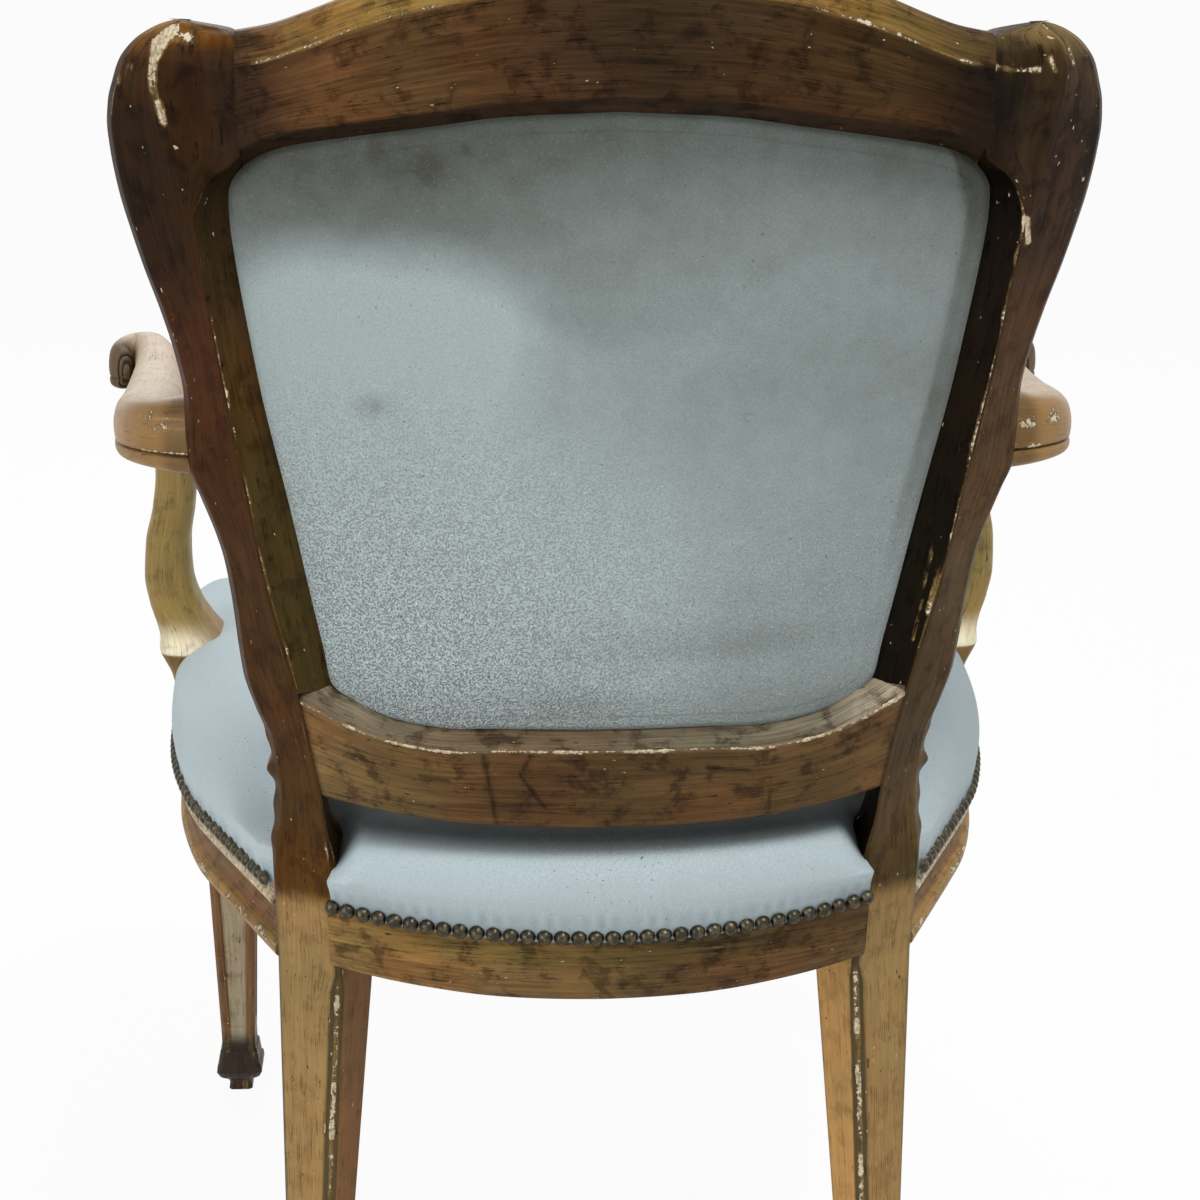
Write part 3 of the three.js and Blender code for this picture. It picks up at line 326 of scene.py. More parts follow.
# Worn gilding: the painted tone times streaks along the grain, shifted to red or olive in wide
# patches, with rubbed gold and cream gesso where wear and noise add up, and dark cracks.
def wornGildingGroup():
    tree, given, result = newGroup("wornGilding", [
        ("Paint", "Color", (0.2, 0.13, 0.07, 1)), ("Wear", "Float", 0.0),
        ("Grain", "Vector", (0, 0, 0)), ("Place", "Vector", (0, 0, 0)),
        ("Streaks", "Float", 1.0), ("Chips", "Float", 0.5), ("Rubbing", "Float", 0.5),
        ("Dirt", "Float", 0.5), ("Metal", "Float", 0.2),
    ], [("Color", "Color"), ("Roughness", "Float"), ("Metallic", "Float"), ("Height", "Float")])
    grain, place = given["Grain"], given["Place"]
    fine = noise(tree, stretched(tree, grain, (22, 460, 9)), 1.0, 5.0, 0.65)
    broad = noise(tree, stretched(tree, grain, (7, 60, 9)), 1.0, 5.0, 0.6, 0.5)
    cloud = noise(tree, place, 12.0, 5.0, 0.6)
    hue = noise(tree, put(tree, "Mapping", {"Vector": place, "Location": (3, 7, 1)}).outputs[0],
                14.0, 3.0, 0.5)
    patch = noise(tree, place, 60.0, 6.0, 0.65, 0.3)
    crumb = noise(tree, place, 340.0, 4.0, 0.7)

    tone = maths(tree, "ADD", maths(tree, "MULTIPLY", fine, 0.4),
                 maths(tree, "MULTIPLY_ADD", broad, 0.35, maths(tree, "MULTIPLY", cloud, 0.25)))
    gain = put(tree, "MapRange", {"Value": tone, "From Min": 0.36, "From Max": 0.64,
                                  "To Min": 0.25, "To Max": 1.6}).outputs["Result"]
    gain = maths(tree, "MULTIPLY_ADD", maths(tree, "SUBTRACT", gain, 1.0), given["Streaks"], 1.0)
    color = blend(tree, 1.0, given["Paint"], gain, "MULTIPLY")
    tint = blend(tree, ramp(tree, hue, 0.4, 0.6), (1.1, 0.97, 0.84, 1), (0.93, 1.0, 0.92, 1))
    color = blend(tree, given["Streaks"], color, tint, "MULTIPLY")
    grime = maths(tree, "MULTIPLY", ramp(tree, patch, 0.5, 0.64), given["Dirt"])
    color = blend(tree, grime, color, (0.4, 0.37, 0.36, 1), "MULTIPLY")
    crack = ramp(tree, noise(tree, stretched(tree, grain, (40, 1500, 9)), 1.0, 2.0, 0.5),
                 0.6, 0.66)
    crack = maths(tree, "MULTIPLY", crack, ramp(tree, patch, 0.42, 0.56))
    color = blend(tree, maths(tree, "MULTIPLY", crack, given["Streaks"]), color,
                  (0.3, 0.27, 0.25, 1), "MULTIPLY")

    spread = maths(tree, "MULTIPLY_ADD", maths(tree, "SUBTRACT", patch, 0.5), 1.0,
                   maths(tree, "MULTIPLY", maths(tree, "SUBTRACT", fine, 0.5), 0.7))
    rubbed = ramp(tree, maths(tree, "MULTIPLY_ADD", given["Wear"], given["Rubbing"], spread),
                  0.32, 0.62)
    gold = blend(tree, ramp(tree, crumb, 0.4, 0.6), (0.24, 0.14, 0.045, 1), (0.46, 0.3, 0.12, 1))
    color = blend(tree, maths(tree, "MULTIPLY", rubbed, 0.8), color, gold)
    flakes = maths(tree, "MULTIPLY_ADD", maths(tree, "SUBTRACT", crumb, 0.5), 0.9,
                   maths(tree, "MULTIPLY", maths(tree, "SUBTRACT", patch, 0.5), 1.9))
    gesso = ramp(tree, maths(tree, "MULTIPLY_ADD", given["Wear"], given["Chips"], flakes),
                 0.84, 0.9)
    rim = maths(tree, "SUBTRACT",
                ramp(tree, maths(tree, "MULTIPLY_ADD", given["Wear"], given["Chips"], flakes),
                     0.74, 0.84), gesso)
    color = blend(tree, maths(tree, "MULTIPLY", rim, 0.6), color, (0.035, 0.024, 0.014, 1))
    cream = blend(tree, ramp(tree, crumb, 0.38, 0.6), (0.36, 0.27, 0.16, 1), (0.66, 0.57, 0.41, 1))
    color = blend(tree, gesso, color, cream)
    chip = noise(tree, stretched(tree, grain, (170, 420, 9)), 1.0, 2.0, 0.5)
    color = blend(tree, ramp(tree, chip, 0.74, 0.77), color, (0.5, 0.4, 0.26, 1))
    pit = noise(tree, stretched(tree, grain, (110, 300, 9)), 1.0, 2.0, 0.5)
    color = blend(tree, maths(tree, "MULTIPLY", ramp(tree, pit, 0.71, 0.75), 0.85), color,
                  (0.02, 0.014, 0.01, 1))

    rough = maths(tree, "MULTIPLY_ADD", patch, 0.3, maths(tree, "MULTIPLY_ADD", gesso, 0.3, 0.3))
    metal = maths(tree, "MULTIPLY_ADD", rubbed, 0.5, given["Metal"])
    metal = maths(tree, "MULTIPLY", metal, maths(tree, "SUBTRACT", 1.0, gesso))
    height = maths(tree, "MULTIPLY_ADD", fine, 0.5, maths(tree, "MULTIPLY", crumb, 0.15))
    height = maths(tree, "SUBTRACT", height, maths(tree, "MULTIPLY", crack, 0.7))
    height = maths(tree, "SUBTRACT", height, maths(tree, "MULTIPLY", gesso, 0.9))
    for key, value in {"Color": color, "Roughness": rough, "Height": height,
                       "Metallic": metal}.items():
        tree.links.new(value, result.inputs[key])
    return tree


wornGilding = wornGildingGroup()


def gildedMaterial(name, streaks, chips, rubbing, darkening, metal, gloss):
    material, tree, shader = newMaterial(name)
    fields = {key: put(tree, "Attribute", attribute_name=key)
              for key in ("wear", "paint", "grain", "age")}
    place = put(tree, "TexCoord").outputs["Object"]
    streaks = maths(tree, "MULTIPLY", fields["age"].outputs["Fac"], streaks)
    darkening = maths(tree, "MULTIPLY", fields["age"].outputs["Fac"], darkening)
    made = useGroup(tree, wornGilding, {
        "Paint": fields["paint"].outputs["Color"], "Wear": fields["wear"].outputs["Fac"],
        "Grain": fields["grain"].outputs["Vector"], "Place": place, "Streaks": streaks,
        "Chips": chips, "Rubbing": rubbing, "Dirt": darkening, "Metal": metal})
    finishWith(tree, shader, made["Color"], made["Roughness"], made["Metallic"], made["Height"],
               0.0005)
    shader.inputs["Specular IOR Level"].default_value = gloss
    return material


gilding = {
    "dark": gildedMaterial("dark gilding", 0.95, 0.9, 0.55, 0.8, 0.05, 0.05),
    "rail": gildedMaterial("rail gilding", 0.95, 0.95, 0.55, 0.9, 0.05, 0.1),
    "pale": gildedMaterial("pale gilding", 0.4, 0.85, 0.5, 0.4, 0.12, 0.25),
}
print("gilding ready")


# Rear posts

rearPost = {
    "outerEdge": [
        (410, 209), (470, 203), (511, 206), (530, 213), (555, 220), (607, 224.5), (630, 227.5),
        (646, 231.5), (670, 240), (690, 247), (734, 246), (758, 249.5), (785, 256.5), (808, 264),
        (831, 270.5), (854, 276), (876, 279), (890, 279.8), (905, 278), (916, 274.5), (928, 269.5),
        (938.5, 260.5), (945, 251), (948.5, 243), (950.2, 237)],
    "ridgeEdge": [
        (410, 168), (475, 172), (543, 183), (577, 190), (612, 198), (641, 203.5), (677, 208.5),
        (735, 217.5), (774, 223), (820, 228.5), (841, 231), (858, 225), (868, 217), (877, 205),
        (880, 202)],
    "faceEdge": [
        (410, 169.5), (475, 173.5), (543, 184.5), (612, 200), (677, 210), (735, 219), (820, 230),
        (841, 233.5), (869, 238), (900, 244.5), (920, 247), (938, 243), (950, 232)],
    "panelEdge": [
        (410, 151), (475, 154), (552, 164), (580, 168), (612, 174.5), (641, 179.2), (675, 185.5),
        (736, 197.5), (772, 203), (820, 209.3), (845, 211.2), (859, 211), (871, 204), (878, 193)],
    "earTop": [(943, 202.3), (945.5, 206), (947.5, 216), (949, 226), (950.2, 232)],
    "topRounding": [(0, 19), (1.5, 13), (5, 7.5), (11, 3.2), (20, 0)], "jointTop": 946,
    "frontRounding": [(0, 30), (2, 36), (6, 41), (10, 42), (14, 40), (22, 39)],
    "foot": [(0, 20), (6, 18.5), (9.5, 20.5), (15, 34), (20, 38.5), (25, 37.5), (27, 34.5),
             (39, 31.5), (41, 28.5), (52, 28.5)],
    "corner": (208.4, 159.3), "turn": 28, "faceX": 187, "splay": 0.05,
    "topWidth": 48, "footWidth": 28.5, "footTop": 52, "stileBase": 467, "earHeight": 950.2,
    "stile": {
        "facet": [(400, "604827"), (500, "513a1f"), (620, "4f361c"), (720, "4e321a"),
                  (775, "4d2e18"), (820, "372415"), (900, "2f1f13"), (930, "48331d"),
                  (945, "7e5f37")],
        "flat": [(400, "533e22"), (620, "49351d"), (800, "402b18"), (860, "342415"),
                 (915, "322214"), (935, "402c19"), (948, "7d5d37")],
        "bevel": [(400, "3d2e1e"), (480, "281d13"), (540, "352a1b"),
                  (660, "352a1b"), (740, "3d2b1a"), (800, "33241a"), (860, "261b11")],
        # Per-side tints: the right stile lighter and greyer as a painted sheen, the left darker and
        # warmer
        "tint": {"left": (0.78, 0.62, 0.32), "right": (1.12, 1.3, 1.45)},
        # Colour of the painted shade in the corner of each stile under the crest
        "shadeBesideCrest": {"left": "2f2117", "right": "241911"},
        "front": [(400, "7d5f38"), (900, "846238"), (945, "96753f")]},
    # Inner faces of the legs per side: painted shade on the left leg, painted light on the right leg
    "inner": {"left": "7c5832", "right": "c0955c"},
    # Gains per side: painted light on the left stile's inner bevel, painted shade on the right one
    "bevelLightAndShade": {"left": (1.9, 2.4, 2.9), "right": (0.2, 0.16, 0.11)},
    "leg": {"outer": "9a7d51", "chamfer": "544830", "front": "86683f"},
    "knobs": [(488, 4.6, 6), (463, 2.2, 9), (440, 1.8, 8), (512, 1.5, 6)],
    "marks": {
        "left": [([(237, 947), (241, 943), (245, 937), (248, 930), (250, 922), (250, 914),
                   (246, 901), (245, 897)], 2.7, 1.0),
                 ([(229, 941), (238, 943), (247, 934)], 5.5, 0.66),
                 ([(262, 925), (268, 918)], 4, 0.7),
                 ([(274, 912), (275.5, 898)], 2.5, 0.7)],
        "right": [([(202, 929), (212, 926.5), (230, 926)], 3.2, 1.0),
                  ([(236, 932), (240, 925)], 2.2, 1.1), ([(248, 936), (252, 928)], 2.2, 0.8),
                  ([(232, 842), (235, 829)], 2.6, 1.5),
                  ([(195, 645), (190.5, 609), (186, 582)], 1.6, 0.75),
                  ([(199, 640), (193, 600)], 1.2, 0.7)]},
    "holes": [(225.5, 798), (219.7, 758.7), (197.7, 639), (189.1, 576)],
}
edges = {key: curveThrough(rearPost[key]) for key in
         ("outerEdge", "ridgeEdge", "faceEdge", "panelEdge", "topRounding", "frontRounding",
          "earTop")}


def legWidth(z):
    z = np.minimum(z, chair["railBottom"])
    t = (z - rearPost["footTop"]) / (chair["railBottom"] - rearPost["footTop"])
    return rearPost["footWidth"] + (rearPost["topWidth"] - rearPost["footWidth"]) * t


# Corners rear, inner, front and outer of the turned square leg, splayed below and leaning above
def legCorners(z):
    width = legWidth(z)[:, None]
    below = np.maximum(chair["railBottom"] - z, 0)
    faceX = rearPost["faceX"]
    above = np.maximum(z, chair["railBottom"])
    lean = backY(faceX, above) - backY(faceX, chair["railBottom"])
    turn = math.radians(rearPost["turn"])
    along = np.array([-math.cos(turn), math.sin(turn)])
    inward = np.array([-math.sin(turn), -math.cos(turn)])
    outer = np.stack([np.full(len(z), rearPost["corner"][0]),
                      rearPost["corner"][1] + rearPost["splay"] * below + lean], 1)
    rear = outer + along * width
    return np.stack([rear, rear + inward * width, outer + inward * width, outer], 1)


squarePlan = [(0, 1, "cut"), (0, 1, 0.5), (0, 1, "end"), (1, 2, "cut"), (1, 2, 0.3), (1, 2, 0.45),
              (1, 2, 0.6), (1, 2, 0.75), (1, 2, "end"), (2, 3, "cut"), (2, 3, 0.33), (2, 3, 0.66),
              (2, 3, "end"), (3, 0, "cut"), (3, 0, "end")]


# Fifteen points round a chamfered square, at fractions of its sides
def squareRings(corners, chamfer, z):
    side = np.linalg.norm(corners[:, 0] - corners[:, 1], axis=1)
    cut = chamfer / side
    rearCut = cut + 3 * smoothStep(z, 52, 70) * (1 - smoothStep(z, 334, 345)) / side
    rings = []
    for a, b, t in squarePlan:
        own = rearCut if (a, t) == (0, "cut") or (b, t) == (0, "end") else cut
        t = own if t == "cut" else 1 - own if t == "end" else np.full(len(z), t)
        at = corners[:, a] + (corners[:, b] - corners[:, a]) * t[:, None]
        rings.append(np.stack([at[:, 0], at[:, 1], z], 1))
    return np.stack(rings, 1)


# Outlines of the moulded stile: the ridge, the sunk rebates, the front cove and the outer side
def stileRings(z):
    outer, ridge, face = (edges[key](z) for key in ("outerEdge", "ridgeEdge", "faceEdge"))
    joint = np.where(z < 552, ridge, np.where(z > 858, edges["earTop"](z), 0))
    panel = np.maximum(edges["panelEdge"](z), joint)
    face = np.maximum(face, joint + 1)
    ledge = np.maximum(panel - chair["ledgeWidth"], joint)
    sight = np.maximum(edges["panelEdge"](z) + 6, joint)
    top = rearPost["earHeight"] - z
    rear = np.where(z > 900, edges["topRounding"](top), 0)
    rearAtJoint = np.where(z > 900, edges["topRounding"](rearPost["jointTop"] - z), 0)
    front = np.where(z > 900, edges["frontRounding"](top), chair["frameDepth"])
    bead = np.minimum(front, 41)
    ledgeFront = np.full_like(z, chair["ledgeFront"])
    panelDepth = np.full_like(z, chair["panelDepth"])
    plan = [
        (np.maximum(ridge, joint), rearAtJoint), (panel, panelDepth), (ledge, panelDepth + 0.3),
        (ledge, ledgeFront), (sight, ledgeFront + 0.4), (sight + 0.5, bead), (sight + 4, front),
        (sight + 9, front - 1.5), ((sight + outer) / 2 + 2, front - 6), (outer - 10, front - 2),
        (outer - 5, front), (outer - 0.5, front - 7), (outer, np.full_like(z, 18)),
        (outer - 4, 10 + rear / 3), (face, rear)]
    return np.stack([onBack(x, z, depth) for x, depth in plan], 1)


def postRings(z):
    z = np.asarray(z, float)
    t = smoothStep(z, chair["railTop"] + 1, rearPost["stileBase"])[:, None, None]
    corners = legCorners(z)
    middle = corners.mean(axis=1, keepdims=True)
    width = np.interp(z, *zip(*rearPost["foot"]))
    scale = np.where(z < rearPost["footTop"], width / legWidth(z), 1)[:, None, None]
    square = squareRings(middle + (corners - middle) * scale, np.where(z < 52, 2, 3.5), z)
    return square * (1 - t) + stileRings(z) * t


def sidePaint(table, keys):
    return np.stack([linear(table[key]) for key in keys])


# Carved swellings on the outer front corner: the sum of bells along the height
def carvedSwelling(z):
    return sum(size * bell(z, at, width) for at, size, width in rearPost["knobs"])


def postMarks(points, side):
    near = smoothStep(points[..., 1] - backY(points[..., 0], points[..., 2]), -16, -11)
    return near * sum(amount * strokeMask(points, line, width)
                      for line, width, amount in rearPost["marks"][side])


def buildRearPosts():
    z = np.concatenate([np.arange(0, 52, 1.0), np.arange(52, 347, 6), np.arange(347, 530, 2),
                        np.arange(530, 551, 2.5), [551.8, 552.2], np.arange(555, 857, 3),
                        [857.8, 858.2], np.arange(860, 925, 2), np.arange(925, 949.4, 1)])
    z = np.append(z, rearPost["earHeight"])
    rings = postRings(z)
    swell = carvedSwelling(z)
    rings[:, 10:13, 0] += swell[:, None]
    rings[:, 9, 0] += swell * 0.5
    sides = ["bevel"] * 5 + ["front"] * 7 + ["facet"] * 2 + ["flat"]
    tones = {key: colourAlong(rearPost["stile"][key], z)
             for key in ("bevel", "front", "facet", "flat")}
    ragged = np.random.default_rng(4).normal(0, 6, len(sides))
    t = smoothStep(z[:, None] + ragged, 395, 413)[..., None]
    stileWear = np.array([.86, .2, 0, 0, 0, .2, .6, .2, 0, .3, .5, .4, .35, .2, .55])
    legWear = np.array([.72, 0, .6, .6, 0, 0, 0, 0, .6, .6, 0, 0, .6, .6, .72])
    wear = legWear * (1 - t[..., 0]) + stileWear * t[..., 0]
    wear[:, 0] *= 1 - 0.9 * smoothStep(z, 858, 862)
    wear[:, 14] *= smoothStep(np.abs(z - 850), 0, 60) * 0.7 + 0.3
    cornerWear = wear
    age = 0.36 + 0.3 * smoothStep(z, 390, 420) + 0.34 * smoothStep(z, 780, 860)
    for side, mirror in (("left", False), ("right", True)):
        own = dict(rearPost["leg"], inner=rearPost["inner"][side])
        leg = sidePaint(own, ["inner"] * 2 + ["chamfer"] + ["front"] * 5 + ["chamfer"]
                        + ["front"] * 3 + ["chamfer", "outer", "chamfer"])
        # Painted light and shade of the inner bevels, per side
        gain = [rearPost["bevelLightAndShade"][side] if key == "bevel" else (1, 1, 1) for key in sides]
        stile = np.stack([tones[key] for key in sides], 1) * np.array(gain)
        # Each stile tinted for its side: a painted sheen on the right
        stile = stile * np.array(rearPost["stile"]["tint"][side])
        if side == "right":
            stile = stile * (1 - 0.25 * (1 - smoothStep(z, 560, 660)))[:, None, None]
        paint = leg * (1 - t) + stile * t
        paint = paint * (0.5 + 0.5 * smoothStep(z, 12, 60))[:, None, None]
        points, wear, paint = finerRings(rings, cornerWear, paint, 1.8, 1.0)
        away = np.linalg.norm(points[..., :2] - legCorners(z)[:, :1], axis=2)
        ridge = bell(away - away.min(axis=1)[:, None], 0, 0.7) * smoothStep(z, 54, 64)[:, None]
        wear = wear + 0.98 * ridge * (1 - smoothStep(z, 338, 352))[:, None]
        wear = wear + 0.4 * smoothStep(points[..., 2], 925, 950)
        # Painted shade in the corner under the crest
        corner = ((1 - smoothStep(points[..., 0], 204, 230)) * smoothStep(points[..., 2], 868, 880)
                  * (1 - smoothStep(points[..., 2], 918, 932)))[..., None]
        paint = paint * (1 - corner) + linear(rearPost["stile"]["shadeBesideCrest"][side]) * corner
        wear = np.clip(wear + postMarks(points, side), 0, 2)
        if side == "left":
            holes = sum(strokeMask(points, [hole, (hole[0], hole[1] + 0.5)], 1.5)
                        for hole in rearPost["holes"])
            rearward = points[..., 1] - backY(points[..., 0], points[..., 2])
            paint = paint * (1 - 0.9 * holes * smoothStep(rearward, -8, -4))[..., None]
        mesh = ringMesh(f"rear post {side}", points, wear, paint, 1.7 if mirror else 0.3, mirror,
                        age=age)
        addPiece(f"stile_{side}", mesh, gilding["dark"], [f"rear_post_{side}"])


buildRearPosts()
print("rear posts")


# Rails across the back

crest = {
    "top": [(0, 990), (40, 988.5), (80, 983), (110, 976), (141, 966), (165, 956.5), (185, 949.5),
            (202, 945.8)],
    "opening": [(0, 906), (59, 903), (100, 897), (130, 892.5), (158, 888), (175, 885), (190, 880),
                (202, 874)],
    "face": [(0, "433021"), (60, "4a3522"), (110, "523921"), (150, "553c24"), (175, "48331f"),
             (190, "35251a"), (202, "2b1e14")],
    "edge": [(0, "8f713f"), (140, "8a6b3a"), (175, "715632"), (202, "4c3822")],
    "bevel": [(0, "33251a"), (202, "2f2217")], "front": [(0, "86683a"), (202, "86683a")],
    "gold": ([(188, 935), (167, 943), (146, 954), (120, 965)], 7, 0.2),
}
lowerRail = {
    "ridge": [(0, 526), (60, 525.5), (100, 523), (140, 527), (165, 535), (183, 543), (200, 551)],
    "panel": [(0, 534.5), (62, 534), (96, 532.5), (133, 537), (150, 545), (164, 554), (185, 566)],
    "underside": [(0, 471.5), (100, 472.5), (150, 476), (176, 479), (200, 482)],
    "face": [(-190, "62482b"), (0, "533c23"), (90, "5d4529"), (190, "785c3a")],
    "bevel": [(-190, "9d9282"), (-120, "796d5c"), (0, "625546"), (190, "706453")],
    "hidden": [(0, "6a4d2c"), (1, "6a4d2c")],
    "scratches": [([(74, 522), (66, 474)], 1.3), ([(46, 523), (52, 509), (37, 487)], 1.2),
                  ([(112, 505), (95, 503)], 1.1), ([(-60, 512), (-86, 508)], 1.1)],
}
rearRail = {
    "underside": [(0, 343.5), (60, 344), (110, 346.5), (170, 351.5), (200, 355)],
    # Strip and face lighten towards the left end as painted light
    "strip": [(-172, "5a4826"), (0, "635328"), (110, "7d6a35"), (172, "8a7844")],
    "face": [(-172, "5f4629"), (0, "6f5433"), (172, "8a6a40")],
    "hidden": [(0, "a97f52"), (1, "a97f52")],
}


def crestRings(x):
    top = curveThrough(crest["top"])(np.abs(x))
    opening = curveThrough(crest["opening"])(np.abs(x))
    ledge, sunk, front = chair["ledgeWidth"], chair["panelDepth"], chair["ledgeFront"]
    plan = [(opening + 10, 0), (top - 17, 0), (top - 8, 4.5), (top - 3, 9), (top, 15), (top, 30),
            (top - 2, 36), (top - 6, 41), (top - 10, 42), (top - 16, 39), (opening + 20, 39),
            (opening + 14, 42.5), (opening + 9, chair["frameDepth"]), (opening + 6.5, 41),
            (opening + 6, front + 0.4), (opening - ledge, front), (opening - ledge, sunk + 0.3),
            (opening, sunk)]
    return np.stack([onBack(x, z, depth) for z, depth in plan], 1)


def buildCrest():
    reach = chair["crestJointX"] + 1.2
    x = np.linspace(-reach, reach, 200)
    rings = crestRings(x)
    sides = ["face"] + ["edge"] * 4 + ["front"] * 12 + ["bevel"]
    tones = {key: colourAlong(crest[key], np.abs(x)) for key in ("face", "edge", "front", "bevel")}
    # Painted light: the crest's face lighter towards the left end
    tones["face"] = tones["face"] * (
        0.9 + 0.25 * np.clip(x / 150, -1, 1) + 0.22 * smoothStep(x, 40, 130))[:, None]
    paint = np.stack([tones[key] for key in sides], 1)
    wear = np.array([.25, .84, .3, .3, .4, .3, .3, .3, .3, 0, 0, .3, .3, .2, 0, 0, 0, .3])
    wear = wear * (1 - 0.9 * smoothStep(np.abs(x), 190, 201))[:, None]
    wear[:, 1] *= 0.82 + 0.18 * smoothStep(np.abs(x), 60, 130)
    points, wear, paint = finerRings(rings, wear, paint, 1.8, 1.0)
    line, width, amount = crest["gold"]
    wear = wear + amount * strokeMask(np.abs(points), line, width)
    mesh = ringMesh("crest rail", points, wear, paint, 2.9)
    addPiece("crest", mesh, gilding["dark"], ["crest_rail"])


# The face runs to the posts' straight joint, and the bevel above it runs on into a mitre.
def lowerRailRings(u):
    reach = 190
    x = u * reach
    side = np.abs(x)
    ridge, panel, under = (curveThrough(lowerRail[key])(side)
                           for key in ("ridge", "panel", "underside"))
    ledge, sunk, front = chair["ledgeWidth"], chair["panelDepth"], chair["ledgeFront"]
    plan = [(ridge, 0), (panel, sunk), (panel + ledge, sunk + 0.3), (panel + ledge, front),
            (panel - 6, front + 0.4), (panel - 7, 40), (panel - 11, 42), (panel - 17, 40),
            ((panel + under) / 2 - 6, 36), (under + 12, 40), (under + 6, 41.5), (under + 1, 37),
            (under, 4), (under + 3, 0)]
    rings = []
    for z, depth in plan:
        joint = edges["ridgeEdge"](z) - 0.35
        stop = np.where(z > 551, reach, joint)
        rings.append(onBack(u * stop, z, depth))
    return np.stack(rings, 1)


def buildLowerRail():
    u = np.concatenate([[-1, -0.996], np.linspace(-0.99, 0.99, 180), [0.996, 1]])
    sides = ["bevel"] + ["hidden"] * 11 + ["face"] * 2
    wear = np.array([1.06, .6, 0, 0, 0, .2, .3, .3, 0, .3, .3, .3, .3, .35])
    tones = {key: colourAlong(lowerRail[key], u * 190) for key in ("face", "bevel", "hidden")}
    paint = np.stack([tones[key] for key in sides], 1)
    points, wear, paint = finerRings(lowerRailRings(u), wear, paint, 1.8)
    cut = sum(strokeMask(points, line, width) for line, width in lowerRail["scratches"])
    seam = smoothStep(np.abs(u), 0.985, 1)[:, None]
    rearward = smoothStep(points[..., 1] - backY(points[..., 0], points[..., 2]), -3, -1)
    paint = paint * (1 - 0.75 * np.clip(cut, 0, 1) * rearward)[..., None] * (1 - 0.6 * seam)[..., None]
    mesh = ringMesh("lower back rail", points, wear, paint, 4.1)
    addPiece("lower_rail", mesh, gilding["rail"], ["lower_back_rail"])


def buildRearRail():
    x = np.linspace(-172, 172, 140)
    bottom = curveThrough(rearRail["underside"])(np.abs(x))
    top, thick = chair["railTop"], chair["railThickness"]
    plan = [(bottom + 3, 2.2), (bottom + 8, 0.4), (373, 0), (382, 0), (top - 2, 0),
            (top, 2), (top, thick), (bottom + 1, thick), (bottom, thick - 2), (bottom, 8)]
    rings = np.stack([onBack(x, z, depth) for z, depth in plan], 1)
    sides = ["face"] * 2 + ["between"] * 2 + ["strip"] + ["hidden"] * 2 + ["face"] * 3
    wear = np.array([.45, .2, 0, .45, .95, 0, 0, .2, .2, .2])
    tones = {key: colourAlong(rearRail[key], x) for key in ("strip", "face", "hidden")}
    tones["between"] = tones["strip"] * 0.5 + tones["face"] * 0.5
    paint = np.stack([tones[key] for key in sides], 1)
    mesh = ringMesh("rear seat rail", *finerRings(rings, wear, paint), 5.3)
    addPiece("rear_rail", mesh, gilding["rail"], ["seat_rail_rear"])


buildCrest()
buildLowerRail()
buildRearRail()
print("rails across the back")


# Side and front seat rails

sideRail = {
    "line": [(202, 165), (231, 101), (249, 61), (267.5, 17), (280, -28), (287.5, -66),
             (292, -104), (295, -145), (297.5, -190), (300.5, -250), (302.5, -327)],
    "moulding": [(403, 1), (401, 0), (394, -0.8), (392, -3.4), (388.5, -4.6), (385.5, -3),
                 (384, 3), (379, 6), (371, 8), (363, 5), (360, 2), (358.5, -1.2), (355, -3), (350.5, -2), (348, 1), (347, 5), (347, 26),
                 (349, 28), (404, 28), (404, 2)],
    "hidden": "a97f52", "strip": "b39c70", "cove": "7d5b39", "bead": "9b7843", "under": "70532f",
}


# The line moved inward by each depth of the moulding, at each of its heights
def mouldedRings(place, ahead):
    inward = np.stack([ahead[:, 1], -ahead[:, 0]], 1)
    rings = [np.column_stack([place + inward * depth, np.full(len(place), z)])
             for z, depth in sideRail["moulding"]]
    return np.stack(rings, 1)


def frontLineY(x):
    return chair["frontRailY"] + chair["frontBow"] * (np.abs(x) / 256) ** 2


def buildMouldedRails():
    sides = (["hidden"] * 2 + ["strip"] * 4 + ["cove"] * 4 + ["bead"] * 3 + ["under"] * 4
             + ["hidden"] * 3)
    wear = np.array([0, .5, .9, 1.0, 1.06, .98, .4, 0, 0, .1, .3, .6, .7, .6, .3, 0, 0, 0, 0, 0])
    paint = sidePaint(sideRail, sides)
    rings = mouldedRings(*evenLine(sideRail["line"], np.linspace(0.02, 0.965, 170)))
    made = finerRings(rings, wear, paint, 1.4, 0.6)
    for side, mirror in (("left", False), ("right", True)):
        mesh = ringMesh(f"side rail {side}", *made, 6.1 + mirror, mirror, age=0.55)
        addPiece(f"side_rail_{side}", mesh, gilding["rail"], [f"seat_rail_{side}"])
    x = np.linspace(257, -257, 130)
    place = np.stack([x, frontLineY(x)], 1)
    ahead = np.gradient(place, axis=0)
    ahead /= np.linalg.norm(ahead, axis=1)[:, None]
    mesh = ringMesh("front rail", *finerRings(mouldedRings(place, ahead), wear, paint, 1.4, 0.6), 8.3,
                    age=0.55)
    addPiece("front_rail", mesh, gilding["rail"], ["seat_rail_front"])


buildMouldedRails()
print("moulded seat rails")


# Front legs

frontLeg = {
    "block": [(342, 47.7), (345, 42), (350.5, 46), (355, 48), (358.5, 45), (360, 39.5), (371, 31),
              (382, 35), (392, 46), (404, 46)],
    "border": 7, "sink": 1.5, "panelEnds": (62, 330),
    "panel": "aa9d84", "rim": "7d5a38", "foot": "33261b",
}


